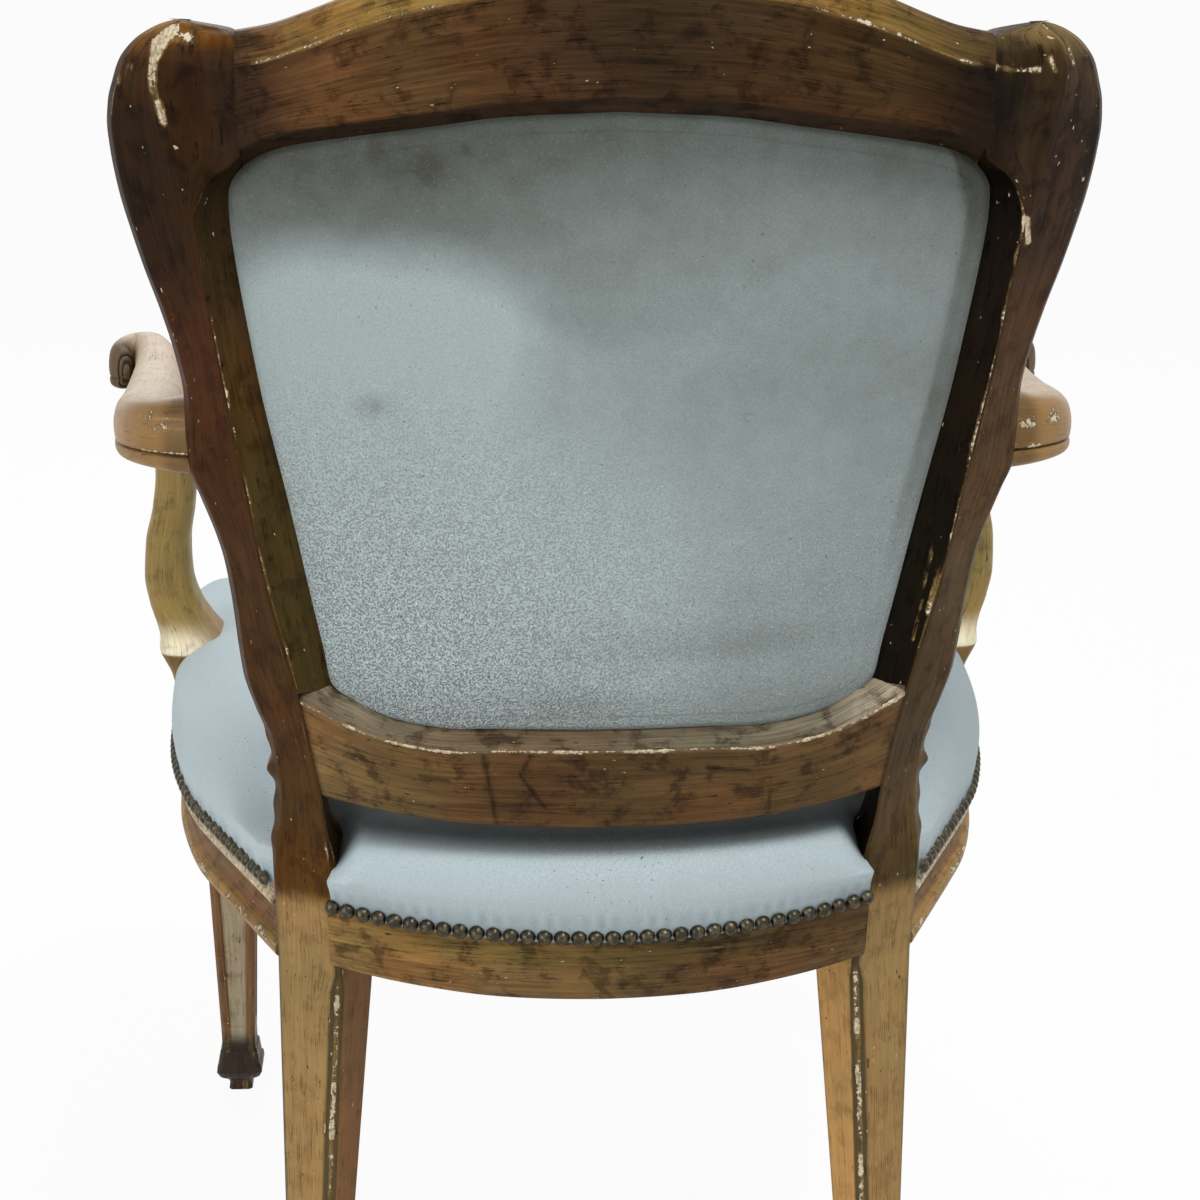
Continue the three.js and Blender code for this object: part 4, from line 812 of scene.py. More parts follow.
# Each side in its own line: chamfer, border, the step down to the panel, and back up
def buildFrontLegs():
    low, high = frontLeg["panelEnds"]
    z = np.concatenate([np.arange(0, 60, 1.0), np.arange(60, 64, 0.5), np.arange(66, 326, 8),
                        np.arange(328, 404.1, 1)])
    width = np.where(z < 52, np.interp(z, *zip(*rearPost["foot"])),
                     np.where(z < 342, legWidth(z), np.interp(z, *zip(*frontLeg["block"]))))
    half = width / 2
    hidden = np.where(z > 344, chair["blockHalf"], half)
    cut = np.where(z > 344, 5.0, 2.5)
    sink = frontLeg["sink"] * smoothStep(z, low - 1, low + 1) * (1 - smoothStep(z, high - 1, high + 1))
    rings = []
    x0, y0 = chair["frontLeg"]
    for turn in range(4):
        ahead, out = ((1, 0), (0, -1), (-1, 0), (0, 1))[turn], ((0, 1), (1, 0), (0, -1), (-1, 0))[turn]
        reachBack = (hidden, half, half, hidden)[turn]
        startAt = (hidden, hidden, half, half)[turn]
        endAt = (half, half, hidden, hidden)[turn]
        border = frontLeg["border"]
        for s, depth in ((-startAt + cut, 0), (-startAt + border, 0), (-startAt + border + 1.2, sink),
                         (endAt - border - 1.2, sink), (endAt - border, 0), (endAt - cut, 0)):
            far = reachBack - depth
            rings.append(np.stack([x0 + ahead[0] * s + out[0] * far,
                                   y0 + ahead[1] * s + out[1] * far, z], 1))
    rings = np.stack(rings, 1)
    keys = ["rim", "rim", "panel", "rim", "rim", "rim"] * 4
    t = smoothStep(z, 44, 60)[:, None, None]
    paint = linear(frontLeg["foot"]) * (1 - t) + sidePaint(frontLeg, keys) * t
    wear = np.tile([.6, .6, .2, .2, .6, .6], 4) + 0.05 * (1 - t[..., 0])
    made = finerRings(rings, wear, paint, 1.6, 0.5)
    for side, mirror in (("left", False), ("right", True)):
        mesh = ringMesh(f"front leg {side}", *made, 9.4 + mirror, mirror)
        addPiece(f"tapered_leg_{side}", mesh, gilding["pale"], [f"front_leg_{side}"])


buildFrontLegs()
print("front legs")


# Arms and their supports

arm = {
    "stations": [
        (224, 192, 706, 40, 50), (238, 190, 706, 38, 47), (251, 185, 705, 36, 44),
        (263, 174, 703, 35, 41), (272.5, 156, 700, 36, 39), (279, 133, 697, 36, 38),
        (282, 104, 694, 38, 37), (283, 72, 691, 39, 36), (284.5, 38, 688.5, 39, 36),
        (287, 2, 686.5, 38, 35), (290, -34, 685.5, 35, 35), (292.5, -68, 685.5, 33, 36),
        (296.5, -96, 685.5, 30, 37.5), (301, -116, 685.5, 27, 38), (307, -130, 685.5, 25, 37),
        (315, -133, 685, 23, 36), (321.5, -127, 684, 20.5, 34), (324.5, -117, 683, 17, 31),
        (321, -108.5, 681.5, 13, 27)],
    "crownLine": [(0.5, -0.2), (0.515, -0.05), (0.5, 0.12), (0.42, 0.34), (0.25, 0.47), (0, 0.5),
             (-0.25, 0.47), (-0.42, 0.34), (-0.5, 0.12), (-0.515, -0.05), (-0.5, -0.2)],
    "beadLine": [(-0.44, -0.235), (-0.49, -0.27), (-0.505, -0.34), (-0.47, -0.42), (-0.36, -0.48),
             (-0.2, -0.5), (0.2, -0.5), (0.36, -0.48), (0.47, -0.42), (0.505, -0.34),
             (0.49, -0.27), (0.44, -0.235)],
    "top": "b5a28c", "side": "a58763", "bead": "8a6a38", "under": "5f4627", "elbow": "94703f",
}
support = {
    "stations": [
        (404.3, 288, -190, 26, 50), (417, 288.5, -190, 28, 53), (431, 289.5, -190, 32, 57),
        (442, 289.5, -190, 41, 61), (449, 288.5, -190, 50, 63), (452, 288, -190, 53, 63),
        (455, 288, -190, 52.5, 62), (463, 290.5, -189.5, 47, 56), (474, 295.5, -188.5, 41.5, 50),
        (488, 301, -186, 38, 44), (510, 304.5, -179, 35.5, 39), (540, 302.5, -168, 33, 36),
        (572, 295.5, -153, 30.5, 34), (604, 291.5, -138, 29, 33), (634, 292, -124, 28, 34),
        (656, 295, -115, 27, 38), (672, 297, -109, 23, 40)],
    # The pale colour is a painted highlight on the flare's top
    "shaft": "957e48", "flareHighlight": "f0e8cc", "lobe": "95714f", "cove": "7d5f33",
}


# The outline: a smooth crowned back between two quirks, and a rounded bead below
def armOutline():
    crown = lineThrough(arm["crownLine"], np.linspace(0, len(arm["crownLine"]) - 1, 41))
    bead = lineThrough(arm["beadLine"], np.linspace(0, len(arm["beadLine"]) - 1, 30))
    return np.concatenate([crown, bead])


# The outline scaled by each station's width and height, square to the line in plan
def armRings(at):
    stations = np.array(arm["stations"], float)
    index = np.arange(len(stations))
    place = lineThrough(stations[:, :3], at)
    width, height = (curveThrough(list(zip(index, stations[:, k])))(at) for k in (3, 4))
    ahead = np.gradient(place[:, :2], axis=0)
    ahead /= np.linalg.norm(ahead, axis=1)[:, None]
    across = np.stack([ahead[:, 1], -ahead[:, 0]], 1)
    outline = armOutline()
    plan = place[:, None, :2] + across[:, None] * (outline[None, :, :1] * width[:, None, None])
    rise = place[:, None, 2:] + outline[None, :, 1:] * height[:, None, None]
    rings = np.concatenate([plan, rise], 2)
    last, centre = rings[-1], rings[-1].mean(axis=0)
    forward = np.append(ahead[-1], 0)
    dome = [centre + (last - centre) * scale + forward * step
            for scale, step in ((0.97, 1.2), (0.86, 2.6), (0.8, 2.2), (0.74, 3.6), (0.5, 4.6),
                                (0.44, 4.2), (0.36, 5.2), (0.15, 5.6))]
    return np.concatenate([rings, dome])


def buildArms():
    last = len(arm["stations"]) - 1
    at = np.linspace(0.15, last, 200)
    rings = armRings(at)
    n, m = rings.shape[:2]
    at = np.concatenate([at, last + np.arange(1, n - len(at) + 1) * 0.05])
    rise = armOutline()[:, 1]
    shades = sidePaint(arm, ["top", "side", "bead"])
    t = smoothStep(rise, 0.2, 0.44)[:, None]
    paint = shades[1] * (1 - t) + shades[0] * t
    t = smoothStep(rise, -0.19, -0.24)[:, None]
    paint = np.repeat((paint * (1 - t) + shades[2] * t)[None], n, axis=0)
    quirk = bell(rise, -0.225, 0.025)[None, :, None]
    elbow = (1 - smoothStep(at, 3.2, 5.2))[:, None, None]
    elbow = elbow * (1 - 0.8 * smoothStep(rise, 0.42, 0.5)[None, :, None])
    paint = paint * (1 - elbow) + linear(arm["elbow"]) * elbow
    # Painted shade in the quirk groove
    paint = paint * (1 - 0.6 * quirk)
    # Painted shade in the crevice where the arm meets the stile
    paint = paint * (1 - 0.45 * (1 - smoothStep(at, 1.7, 2.3)))[:, None, None]
    # Painted shade in the scroll's hollow and in its grooves
    coil = smoothStep(at, last - 2.6, last - 0.6)[:, None, None] * 0.88
    paint = paint * (1 - coil) + linear(arm["under"]) * 0.6 * coil
    groove = np.zeros(n)
    groove[[-7, -6, -4, -3]] = 0.75
    paint = paint * (1 - groove[:, None, None])
    wear = 0.12 + 0.4 * bell(rise, 0.12, 0.1) + 0.55 * bell(rise, -0.2, 0.03)
    wear = wear + 0.35 * bell(rise, -0.44, 0.06)
    wear = wear[None] + (0.35 * (1 - smoothStep(at, 2.2, 4.5))
                         + 0.4 * (1 - smoothStep(at, 0.4, 1.6)))[:, None]
    wear = wear + 0.5 * bell(at, 2.9, 0.75)[:, None] * bell(rise, 0.3, 0.16)[None]
    wear = wear * (1 - 0.8 * smoothStep(rise, 0.44, 0.5)[None] * smoothStep(at, 3, 4)[:, None])
    for side, mirror in (("left", False), ("right", True)):
        mesh = ringMesh(f"arm {side}", rings, wear, paint, 11.2 + mirror, mirror, age=0.28)
        addPiece(f"arm_rest_{side}", mesh, gilding["pale"], [f"arm_{side}"])


# Rounded squares (superellipses) whose centre, width and depth follow the stations
def buildSupports():
    stations = np.array(support["stations"], float)
    z = np.concatenate([np.arange(404.3, 470, 1.0), np.arange(470, 672, 3), [672.0]])
    curves = [curveThrough(list(zip(stations[:, 0], stations[:, k]))) for k in (1, 2, 3, 4)]
    x, y, across, along = (curve(z)[:, None] for curve in curves)
    angle = np.linspace(0, 2 * math.pi, 73)[None, :-1]
    c, s = np.cos(angle), np.sin(angle)
    px = x + np.sign(c) * np.abs(c) ** 0.55 * across / 2
    py = y + np.sign(s) * np.abs(s) ** 0.55 * along / 2
    points = np.stack([px, py, np.broadcast_to(z[:, None], px.shape)], -1)
    # A painted highlight on the flare's top, strongest towards the back and weaker on the inner side
    above = smoothStep(z, 449.5, 451.5)
    fade = above * (1 - smoothStep(z, 455, 480))
    flareHighlight = (fade[:, None] * (0.3 + 0.7 * np.clip(s, 0, 1) ** 0.5)
             * (1 - 0.6 * np.clip(-c, 0, 1)))[..., None]
    lobe = ((above * bell(z, 452, 22))[:, None] * np.clip(-c, 0, 1) ** 0.7)[..., None]
    cove = (1 - above)[:, None, None]
    paint = np.broadcast_to(linear(support["shaft"]), (*px.shape, 3))
    paint = paint * (1 - flareHighlight) + linear(support["flareHighlight"]) * flareHighlight
    paint = paint * (1 - lobe) + linear(support["lobe"]) * lobe
    paint = paint * (1 - cove) + linear(support["cove"]) * cove
    corner = np.abs(np.abs(c) - np.abs(s)) < 0.25
    wear = np.where(corner, 0.35, 0.05) + 0.3 * bell(z, 450, 4)[:, None]
    for side, mirror in (("left", False), ("right", True)):
        mesh = ringMesh(f"support {side}", points, wear, paint, 13.8 + mirror, mirror)
        addPiece(f"arm_post_{side}", mesh, gilding["pale"], [f"arm_support_{side}"])


buildArms()
buildSupports()
print("arms and supports")


# Leather

# Leather: two tones mixed by a given per-point amount of painted shade and soiling together, and a
# faint cloud;
# raised pebbles with painted highlights on their tops and painted shadow in dark pits where it is
# coarse, a fine nap elsewhere, and scattered dark specks.
def leatherGroup():
    tree, given, result = newGroup("leatherFace", [
        ("Place", "Vector", (0, 0, 0)), ("Light", "Color", (0.5, 0.6, 0.62, 1)),
        ("Shade", "Color", (0.3, 0.36, 0.36, 1)), ("ShadeAndSoiling", "Float", 0.0),
        ("Coarse", "Float", 0.0), ("Cloud", "Float", 0.3), ("Specks", "Float", 0.3),
    ], [("Color", "Color"), ("Roughness", "Float"), ("Height", "Float")])
    place = given["Place"]
    wide = noise(tree, place, 7.0, 5.0, 0.55, 0.4)
    mottle = noise(tree, place, 60.0, 5.0, 0.65)
    nap = noise(tree, place, 900.0, 3.0, 0.7)
    warped = noise(tree, place, 820.0, 2.0, 0.5, 0.2)
    cells = put(tree, "TexVoronoi", {"Vector": place, "Scale": 900.0},
                feature="SMOOTH_F1").outputs["Distance"]
    drift = maths(tree, "MULTIPLY_ADD", maths(tree, "SUBTRACT", wide, 0.5), 1.6,
                  maths(tree, "SUBTRACT", mottle, 0.5))
    amount = put(tree, "Clamp", {"Value": maths(tree, "MULTIPLY_ADD", drift, given["Cloud"],
                                                given["ShadeAndSoiling"])}).outputs[0]
    color = blend(tree, amount, given["Light"], given["Shade"])
    bumps = maths(tree, "MULTIPLY_ADD", cells, 0.45, maths(tree, "MULTIPLY", warped, 0.8))
    # Coarse leather is lightened overall; pebble tops get painted highlights and pits painted shadow,
    # beside their real bump
    color = blend(tree, maths(tree, "MULTIPLY", given["Coarse"], 0.22), color,
                  (0.73, 0.82, 0.84, 1))
    pits = maths(tree, "MULTIPLY", ramp(tree, bumps, 0.6, 0.76), given["Coarse"])
    color = blend(tree, maths(tree, "MULTIPLY", pits, 0.42), color, (0.085, 0.09, 0.08, 1))
    ridges = maths(tree, "MULTIPLY", ramp(tree, bumps, 0.5, 0.34), given["Coarse"])
    color = blend(tree, maths(tree, "MULTIPLY", ridges, 0.8), color, (0.73, 0.82, 0.84, 1))
    color = blend(tree, 0.16, color, ramp(tree, nap, 0.35, 0.65, 0.55, 1.45), "MULTIPLY")
    where = ramp(tree, noise(tree, place, 14.0, 2.0), 0.4, 0.62, 0.15, 1.0)
    dots = ramp(tree, noise(tree, place, 520.0, 1.0, 0.4), 0.735, 0.77)
    often = maths(tree, "MULTIPLY_ADD", given["Coarse"], 0.6,
                  maths(tree, "MULTIPLY", where, given["Specks"]))
    speck = maths(tree, "MULTIPLY", dots, often)
    color = blend(tree, speck, color, (0.05, 0.055, 0.05, 1))
    height = maths(tree, "MULTIPLY_ADD", nap, 0.12, maths(tree, "MULTIPLY", mottle, 0.25))
    height = maths(tree, "SUBTRACT", height, maths(tree, "MULTIPLY", pits, 0.9))
    height = maths(tree, "SUBTRACT", height,
                   maths(tree, "MULTIPLY", maths(tree, "MULTIPLY", bumps, given["Coarse"]), 1.6))
    rough = maths(tree, "MULTIPLY_ADD", mottle, 0.25, 0.62)
    for key, value in {"Color": color, "Roughness": rough, "Height": height}.items():
        tree.links.new(value, result.inputs[key])
    return tree


leatherFace = leatherGroup()


def leatherMaterial(name, light, shade, cloud, specks, depth):
    material, tree, shader = newMaterial(name)
    place = put(tree, "TexCoord").outputs["Object"]
    # The per-point darkening read here is painted shade and soiling together
    fields = {key: put(tree, "Attribute", attribute_name=key).outputs["Fac"]
              for key in ("darkening", "coarse")}
    made = useGroup(tree, leatherFace, {
        "Place": place, "Light": rgba(light), "Shade": rgba(shade), "ShadeAndSoiling": fields["darkening"],
        "Coarse": fields["coarse"], "Cloud": cloud, "Specks": specks})
    finishWith(tree, shader, made["Color"], made["Roughness"], None, made["Height"], depth)
    shader.inputs["Specular IOR Level"].default_value = 0.2
    shader.inputs["Sheen Weight"].default_value = 0.08
    return material


seatLeather = leatherMaterial("seat leather", "b3c2c7", "474f4f", 0.09, 0.9, 0.0004)
backLeather = leatherMaterial("back leather", "9fadad", "43443a", 0.26, 0.5, 0.0009)

seat = {
    "skin": [(3, 1, 392.5), (6, 1, 413), (7, 1, 424), (4, 1, 440), (-5, 1, 452), (-16, 1, 460),
             (-16, 0.74, 472), (-16, 0.4, 478.5), (-16, 0, 481)],
    "middle": (0, -60), "rearReach": 168.2, "cornerCut": [(404, 4.5), (452, 26)],
    "leather": 1.7, "nailPitch": 10.45, "endsHigher": 7.5,
}


# Points of an open line moved to its left by a distance
def movedLine(line, by):
    ahead = np.gradient(line, axis=0)
    ahead /= np.linalg.norm(ahead, axis=1)[:, None]
    return line + np.stack([-ahead[:, 1], ahead[:, 0]], 1) * by


def rimLine(z):
    side, _ = evenLine(sideRail["line"], np.linspace(0.05, 0.955, 64))
    x0, y0 = chair["frontLeg"]
    x0, y0 = x0 + chair["blockHalf"], y0 - chair["blockHalf"]
    cut = float(curveThrough(seat["cornerCut"])(z))
    a = np.linspace(0, math.pi / 2, 9)
    corner = np.stack([x0 - cut * (1 - np.cos(a)), y0 + cut * (1 - np.sin(a))], 1)
    x = np.linspace(x0 - cut - 6, 0, 34)
    front = np.stack([x, np.minimum(frontLineY(x), y0)], 1)
    half = np.concatenate([side, corner, front])
    return np.concatenate([half, half[-2::-1] * [-1, 1]])


# The rear rail's line, a step through the body of the post, the side, the front and back again
def seatOutline(out, scale, z):
    x = np.linspace(-seat["rearReach"], seat["rearReach"], 76)
    rear = movedLine(np.stack([x, backY(x, 402)], 1), out)
    rim = movedLine(rimLine(z), out)
    post = postRings(np.array([z]))[0, :, :2]
    inside = post[[3, 9, 12]] * 0.7 + post.mean(axis=0) * 0.3
    t = np.array([0.25, 0.5, 0.75])[:, None]
    straight = rear[-1] * (1 - t) + rim[0] * t
    drawn = np.clip((1 - scale) / 0.12, 0, 1)
    step = inside * (1 - drawn) + straight * drawn
    step = np.concatenate([rear[-1:], step, rim[:1]])
    at = np.linspace(0, 4, 17)[1:-1]
    step = np.stack([np.interp(at, range(5), step[:, k]) for k in (0, 1)], 1)
    ring = np.concatenate([rear, step, rim, step[::-1] * [-1, 1]])
    middle = np.array(seat["middle"])
    ring = (ring - middle) * scale + middle
    return np.column_stack([ring, np.full(len(ring), z)])


# A running mean of five that holds both ends, taken three times
def softened(values):
    for _ in range(3):
        inner = np.convolve(values, np.ones(5) / 5, mode="valid")
        values = np.concatenate([values[:2], inner, values[-2:]])
    return values


def buildSeat():
    skin = np.array(seat["skin"], float)
    index = np.arange(len(skin))
    at = np.concatenate([np.linspace(0, 5, 46), np.linspace(5, 8, 26)[1:-1]])
    out, scale, z = (softened(curveThrough(list(zip(index, skin[:, k])))(at)) for k in range(3))
    rings = np.stack([seatOutline(o, s, h) for o, s, h in zip(out, scale, z)])
    run = np.concatenate([[0], np.cumsum(np.linalg.norm(np.diff(rings[0], axis=0), axis=1))])
    pucker = bell(z, 402, 9)[:, None] * 0.55 * np.cos(2 * math.pi * run / seat["nailPitch"])
    ahead = np.roll(rings, -1, axis=1) - np.roll(rings, 1, axis=1)
    outward = np.stack([-ahead[..., 1], ahead[..., 0]], -1)
    outward /= np.linalg.norm(outward, axis=2)[..., None]
    rings[..., :2] += outward * pucker[..., None]
    n, m = rings.shape[:2]
    # Painted shade along the nail line and in the puckers at each nail
    folds = 0.5 + 0.5 * np.cos(2 * math.pi * run / seat["nailPitch"])
    darkening = 0.42 * bell(z, 395, 6)[:, None] + 0.3 * bell(z, 406, 6)[:, None] * folds
    side = np.abs(rings[..., 0])
    atRear = smoothStep(rings[..., 1], 60, 120)
    # Painted shadow of the lower rail on the top of the rear roll
    shadowUnderRail = smoothStep(rings[..., 1], 118, 150) * smoothStep(rings[..., 2], 447, 459)
    tuck = smoothStep(side, 147, 169) * atRear * smoothStep(scale, 0.9, 1)[:, None]
    rings[..., 2] -= tuck * np.clip(rings[..., 2] - 424, 0, 60) * 0.85
    between = atRear * (1 - smoothStep(side, 168, 195))
    lean = 0.17 * np.clip(rings[..., 2] - 404, 0, 50) + 5.5 * bell(side, 162, 13) * bell(
        rings[..., 2], 430, 20)
    rings[..., 1] += lean * between * smoothStep(scale, 0.9, 1)[:, None]
    rise = seat["endsHigher"] * (side / 166.5) ** 2 * between + 3.2 * (1 - between)
    rings[..., 2] += rise * (1 - smoothStep(rings[..., 2], 404, 428))
    # Painted shade on the right side of the seat; the rear roll a little darker; the lower rail's
    # painted shadow
    darkening = darkening + 0.3 * smoothStep(-rings[..., 0], 180, 280)
    darkening = darkening + 0.08 * between
    darkening = np.clip(darkening + 0.95 * shadowUnderRail * (1 - smoothStep(side, 172, 190)), 0, 1)
    coarse = 0.3 * bell(rings[..., 2], 446, 14) * bell(rings[..., 0], -20, 90) * atRear
    flat = np.concatenate([rings.reshape(-1, 3), [[*seat["middle"], skin[-1, 2]]]])
    grid = np.arange(n * m).reshape(n, m)
    across = np.roll(grid, -1, axis=1)
    quads = np.stack([grid[:-1], grid[1:], across[1:], across[:-1]], -1).reshape(-1, 4)
    fan = np.stack([grid[-1], np.full(m, n * m), across[-1]], -1)
    mesh = makeMesh("seat leather", flat, quads, fan, {"darkening": np.append(darkening.ravel(), 0), "coarse": np.append(coarse.ravel(), 0)}, 80)
    piece = addPiece("seat_upholstery", mesh, seatLeather, ["seat_cover", "seat_stuffing"])
    wall = piece.modifiers.new("leather", "SOLIDIFY")
    wall.thickness = seat["leather"] * mm
    wall.offset = -1
    return rings


# Back leather: the opening's outline drawn in to its middle

back = {
    "opening": [
        (0, 534.5), (62, 534), (96, 532.5), (130, 536.5), (150, 544), (163, 555), (168, 580),
        (179.2, 641), (185.5, 675), (197.5, 736), (203, 772), (209.3, 820), (211.2, 843), (209.5, 861),
        (200, 873), (185, 881), (158, 887.5), (130, 892.5), (100, 897), (59, 903), (0, 906)],
    "middleZ": 715,
    # The lower edge of the painted shadow cast by the crest, by x
    "crestShadowEdge": [(-215, 800), (-199, 826), (-172, 848), (-120, 848), (-82, 834), (-46, 806),
                    (9, 797), (53, 817), (101, 834), (172, 836), (205, 818)],
    # The right stile's edge by height, along which a painted shadow band of the stile lies
    "side": [(534, 160), (600, 172), (675, 185.5), (736, 197.5), (820, 209.3), (845, 211.2),
             (870, 204), (906, 190)],
    "stains": [((130, 884), 2.4, 3.6, 0.9), ((101, 875), 4.5, 7, 0.45),
               ((81, 886), 3, 3, 0.6), ((135, 738), 10, 7, 0.35),
               ((20, 552), 40, 9, 0.3), ((-60, 590), 80, 12, 0.25)],
    "outside": [(1.2, 1, 18.8), (-2.5, 1, 16.2), (-9, 1, 15.4), (-9, 0.8, 14), (-9, 0.45, 12.2),
                (-9, 0, 11.6)],
    "inside": [(3.6, 1, 36.5), (3, 1, 44), (-2, 1, 51), (-14, 1, 58), (-14, 0.8, 63.5),
               (-14, 0.45, 67), (-14, 0, 68.5)],
}


def openingLine(out):
    half = lineThrough(back["opening"], np.linspace(0, len(back["opening"]) - 1, 150))
    half[[0, -1], 0] = 0
    ring = np.concatenate([half[:-1], half[:0:-1] * [-1, 1]])
    ahead = np.roll(ring, -1, axis=0) - np.roll(ring, 1, axis=0)
    ahead /= np.linalg.norm(ahead, axis=1)[:, None]
    return ring + np.stack([ahead[:, 1], -ahead[:, 0]], 1) * out


# Painted shadow of the crest above a wavy line, painted shade darker towards the crest and towards the
# right, a painted shadow band along the right stile, stains, darker along the bottom, and a coarse
# patch low on the left
def leatherShadeStainsAndPebbling(x, z):
    line = curveThrough(back["crestShadowEdge"])(x)
    # Painted shadow of the crest below its wavy edge, stronger on the left; painted shade deepening up
    # towards the crest, more on the top left, and darker towards the right
    darkening = smoothStep(z, line - 30, line + 14) * (0.3 + 0.22 * smoothStep(x, -120, 60))
    darkening = darkening + 0.3 * smoothStep(z, 800, 905) + 0.12 * smoothStep(x, 0, 120) * smoothStep(
        z, 815, 850) + 0.2 * smoothStep(-x, -100, 200)
    # Painted shade on the right below the crest's shadow; darker along the bottom; a painted shadow
    # band of the right stile along its edge; painted shade low on the right
    darkening = darkening + 0.27 * smoothStep(-x, -75, -30) * smoothStep(z, 630, 760) * (
        1 - smoothStep(z, line - 20, line + 10))
    darkening = darkening + 0.2 * bell(z, 545, 22)
    edge = np.interp(z, *zip(*back["side"]))
    darkening = darkening + 0.3 * smoothStep(-x, edge - 16, edge - 12) * smoothStep(z, 600, 720)
    darkening = darkening + 0.14 * smoothStep(-x, 10, 90) * (1 - smoothStep(z, 620, 720))
    for (atX, atZ), wide, tall, amount in back["stains"]:
        darkening = darkening + amount * bell(x, atX, wide) * bell(z, atZ, tall)
    coarse = np.clip(1.3 - np.hypot((x - 170) / 250, (z - 560) / 175), 0, 1)
    return np.clip(darkening, 0, 1), np.maximum(coarse, 0.1 + 0.2 * smoothStep(720 - z, 0, 100))


def buildBackPanel(name, key, stations, nodes, material, thickness):
    skin = np.array(back[key], float)
    index = np.arange(len(skin))
    at = np.linspace(0, len(skin) - 1, stations)[:-1]
    out, scale, depth = (curveThrough(list(zip(index, skin[:, k])))(at) for k in range(3))
    rings = []
    for o, s, d in zip(out, scale, depth):
        line = openingLine(o)
        rings.append(onBack(line[:, 0] * s, back["middleZ"] + (line[:, 1] - back["middleZ"]) * s, d))
    rings = np.stack(rings)
    n, m = rings.shape[:2]
    flat = np.concatenate([rings.reshape(-1, 3), onBack([0], [back["middleZ"]], [skin[-1, 2]])])
    darkening, coarse = leatherShadeStainsAndPebbling(flat[:, 0], flat[:, 2]) if key == "outside" else (
        np.zeros(len(flat)), np.zeros(len(flat)))
    grid = np.arange(n * m).reshape(n, m)
    across = np.roll(grid, -1, axis=1)
    quads = np.stack([grid[:-1], grid[1:], across[1:], across[:-1]], -1).reshape(-1, 4)
    fan = np.stack([grid[-1], np.full(m, n * m), across[-1]], -1)
    mesh = makeMesh(name, flat, quads, fan, {"darkening": darkening, "coarse": coarse}, 80)
    piece = addPiece(name, mesh, material, nodes)
    facing = np.zeros(len(mesh.polygons) * 3)
    mesh.polygons.foreach_get("normal", facing)
    rearward = facing[1::3].mean() > 0
    if rearward != (key == "outside"):
        mesh.flip_normals()
    wall = piece.modifiers.new("leather", "SOLIDIFY")
    wall.thickness = thickness * mm
    wall.offset = -1
    return piece


seatRings = buildSeat()
buildBackPanel("outside_back_leather", "outside", 46, ["outside_back_cover"], backLeather,
               1.6)
buildBackPanel("inside_back_leather", "inside", 60, ["inside_back_cover", "back_stuffing"],
               seatLeather, 1.7)
print("leather")


# Nails

nails = {"radius": 5.15, "rise": 4.6, "z": 396, "sideZ": 401.2,
         "endsHigher": 7.5, "stand": 4.9, "longer": 5.5,
         "color": "3a362b", "worn": "5d5644"}


def nailMaterial():
    material, tree, shader = newMaterial("nail bronze")
    place = put(tree, "TexCoord").outputs["Object"]
    patina = noise(tree, place, 260.0, 4.0, 0.6)
    color = blend(tree, ramp(tree, patina, 0.45, 0.68), rgba(nails["color"]), rgba(nails["worn"]))
    rough = maths(tree, "MULTIPLY_ADD", patina, 0.2, 0.24)
    finishWith(tree, shader, color, rough, None, patina, 0.00015)
    shader.inputs["Metallic"].default_value = 0.85
    return material


# A dome (rings at 0, 35, 62 and 80 degrees) at each centre, turned to its outward direction
def nailMesh(name, centres, outward, upward):
    angles = np.radians([0, 32, 58, 80])
    turns = np.linspace(0, 2 * math.pi, 12, endpoint=False)
    sideways = np.cross(upward, outward)
    radius, rise = nails["radius"], nails["rise"]
    ring = [centres[:, None] + (sideways[:, None] * np.cos(turns)[None, :, None]
            + upward[:, None] * np.sin(turns)[None, :, None]) * radius * math.cos(a)
            + outward[:, None] * rise * math.sin(a) for a in angles]
    dome = np.stack(ring, 1)
    count, rows, m = dome.shape[:3]
    tips = centres + outward * rise
    bases = centres - outward * 0.6
    points = np.concatenate([dome.reshape(-1, 3), tips, bases])
    grid = np.arange(count * rows * m).reshape(count, rows, m)
    across = np.roll(grid, -1, axis=2)
    quads = np.stack([grid[:, :-1], across[:, :-1], across[:, 1:], grid[:, 1:]], -1).reshape(-1, 4)
    tip = np.repeat(count * rows * m + np.arange(count), m).reshape(count, m)
    fans = np.concatenate([
        np.stack([grid[:, -1], across[:, -1], tip], -1).reshape(-1, 3),
        np.stack([across[:, 0], grid[:, 0], tip + count], -1).reshape(-1, 3)])
    return makeMesh(name, points, quads, fans, {}, 60)


def nailRow(name, line, spacing):
    run = np.concatenate([[0], np.cumsum(np.linalg.norm(np.diff(line, axis=0), axis=1))])
    count = int(round(run[-1] / spacing))
    at = np.linspace(0, run[-1], count + 1)
    centres = np.stack([np.interp(at, run, line[:, k]) for k in range(3)], 1)
    ahead = np.gradient(centres[:, :2], axis=0)
    ahead /= np.linalg.norm(ahead, axis=1)[:, None]
    outward = np.column_stack([-ahead[:, 1], ahead[:, 0], np.full(len(centres), -0.12)])
    outward /= np.linalg.norm(outward, axis=1)[:, None]
    sideways = np.column_stack([ahead, np.zeros(len(centres))])
    upward = np.cross(outward, sideways)
    mesh = nailMesh(name, centres, outward, upward)
    return addPiece(name, mesh, bronze, ())


